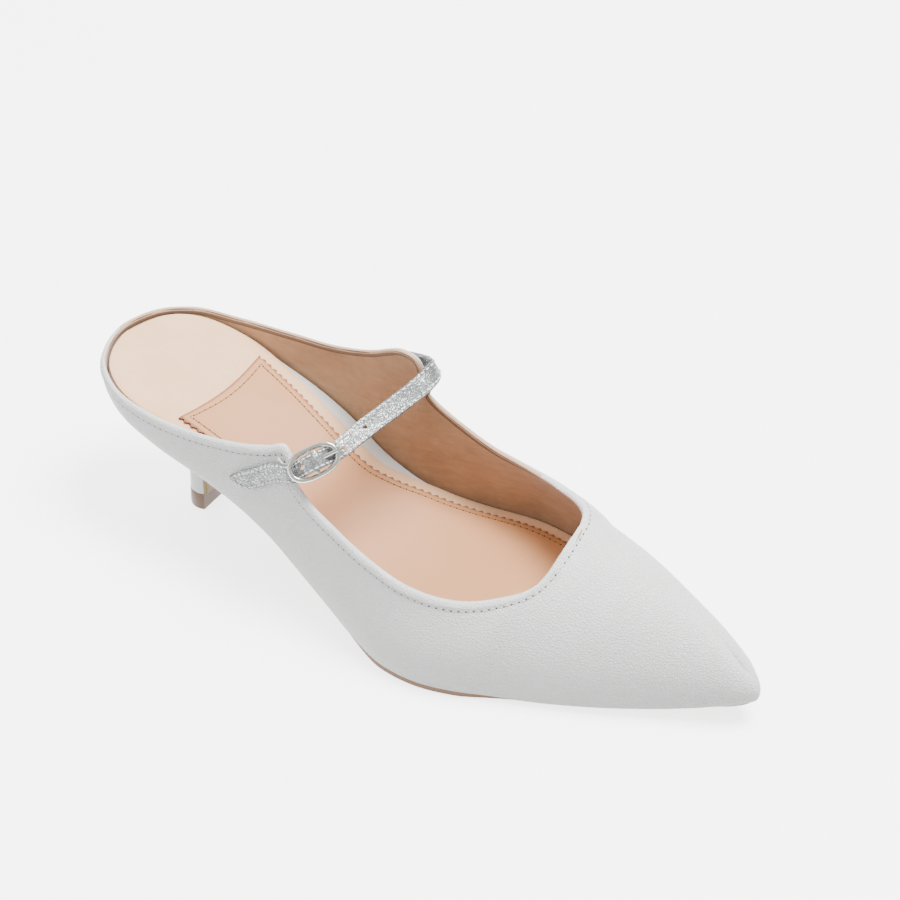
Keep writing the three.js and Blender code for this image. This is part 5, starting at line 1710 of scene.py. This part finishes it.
        slot = self.prong + 2 * last.gap
        ear = (self.loop_width - slot) / 2
        pieces = []
        for sign in (-1, 1):
            shift = sign * (slot + ear) / 2
            skin_lift = last.gap + self.loop_thickness / 2 + self.ease
            start = self.on_skin(Side.LATERAL, 14.9, 0.86, skin_lift)
            second = self.on_skin(Side.LATERAL, 14.3, 0.88, skin_lift)
            stations = [
                (start[0] + self.across * shift, start[1], 1.0, None),
                (second[0] + self.across * shift, second[1], 1.0, None),
                turn(-0.70 * self.arc_at, -2.0 * self.arc_drop, shift),
                turn(-0.47 * self.arc_at, -1.55 * self.arc_drop, shift), turn(0, -radius, shift),
                turn(0.71 * radius, -0.71 * radius, shift), turn(radius, 0, shift),
                turn(0.71 * radius, 0.71 * radius, shift), turn(0, radius, shift),
                turn(-0.9 * radius, 0.6 * radius, shift), turn(-1.9 * radius, -0.05 * radius, shift),
            ]
            profile = [(-1, -0.6), (-0.8, -1), (0.8, -1), (1, -0.6), (1, 0.6), (0.8, 1), (-0.8, 1), (-1, 0.6)]
            pieces.append(self.ribbon("buckle_loop_ear", stations, ear, self.loop_thickness, 90, profile))
        self.workshop.dress(self.workshop.join(pieces, "buckle_loop_leather"), WHITE_COVER, "buckle_loop")


@dataclass
class Studio:
    """Pale floor, soft light and the camera at the photograph's angle."""

    last: Last
    azimuth: float = 32.5
    elevation: float = 39.2
    distance: float = 1100.0
    lens: float = 3.07 * 1100.0 / 900.0 * 36.0
    target: tuple = (135.3, 0.0, 66.5)
    floor_glow: float = 3.2

    def build(self) -> None:
        """Build the floor, the lights and the camera."""
        self.floor()
        self.lights()
        self.camera()

    def floor(self) -> None:
        """A plain pale floor."""
        bpy.ops.object.select_all(action="DESELECT")
        bpy.ops.mesh.primitive_plane_add(size=8.0, location=(0, 0, -0.0002))
        floor = bpy.context.active_object
        floor.name = "studio_floor"
        material = bpy.data.materials.new("floor_paper")
        material.use_nodes = True
        shader = material.node_tree.nodes["Principled BSDF"]
        shader.inputs["Base Color"].default_value = (0.93, 0.93, 0.93, 1)
        shader.inputs["Roughness"].default_value = 0.9
        shader.inputs["Emission Color"].default_value = (1.0, 1.0, 1.0, 1)
        shader.inputs["Emission Strength"].default_value = self.floor_glow
        floor.data.materials.append(material)
        floor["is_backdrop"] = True
        floor.visible_diffuse = False

    def lights(self) -> None:
        """Large soft lamps and an even surrounding."""
        world = bpy.context.scene.world or bpy.data.worlds.new("studio_world")
        bpy.context.scene.world = world
        world.use_nodes = True
        background = world.node_tree.nodes["Background"]
        background.inputs[0].default_value = (1.0, 1.0, 1.0, 1)
        background.inputs[1].default_value = 0.95
        for name, place, size, power in (
            ("key_lamp", (0.40, 0.25, 1.5), 0.7, 62.0),
            ("fill_lamp", (-0.6, -1.1, 0.8), 1.2, 9.0),
            ("rim_lamp", (-0.9, 0.6, 1.1), 1.0, 10.0),
        ):
            data = bpy.data.lights.new(name, "AREA")
            data.energy, data.size = power, size
            lamp = bpy.data.objects.new(name, data)
            lamp.location = place
            lamp.rotation_euler = (Vector((0, 0, 0.03)) - Vector(place)).to_track_quat("-Z", "Y").to_euler()
            bpy.context.scene.collection.objects.link(lamp)

    def camera(self) -> None:
        """The camera."""
        data = bpy.data.cameras.new("photo_camera")
        data.lens, data.sensor_width, data.sensor_fit = self.lens, 36.0, "HORIZONTAL"
        data.clip_start, data.clip_end = 0.05, 20.0
        camera = bpy.data.objects.new("photo_camera", data)
        a, e = math.radians(self.azimuth), math.radians(self.elevation)
        back = Vector((math.sin(a) * math.cos(e), -math.cos(a) * math.cos(e), math.sin(e)))
        camera.location = Vector(self.last.place(np.array(self.target))) + back * self.distance * MM
        camera.rotation_euler = back.to_track_quat("Z", "Y").to_euler()
        bpy.context.scene.collection.objects.link(camera)
        bpy.context.scene.camera = camera


def main() -> None:
    """Build every sub-assembly and report each piece."""
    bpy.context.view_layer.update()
    last = Last()
    workshop = Workshop(last)
    for assembly in (Upper(workshop), Insole(workshop), Bottom(workshop), StrapAndBuckle(workshop)):
        assembly.build()
        LOG.info("built %s", type(assembly).__name__)
    Studio(last).build()
    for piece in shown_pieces():
        LOG.info("%s: %d faces", piece.name, len(piece.data.polygons))
    bpy.context.view_layer.update()


if __name__ == "__main__":
    main()
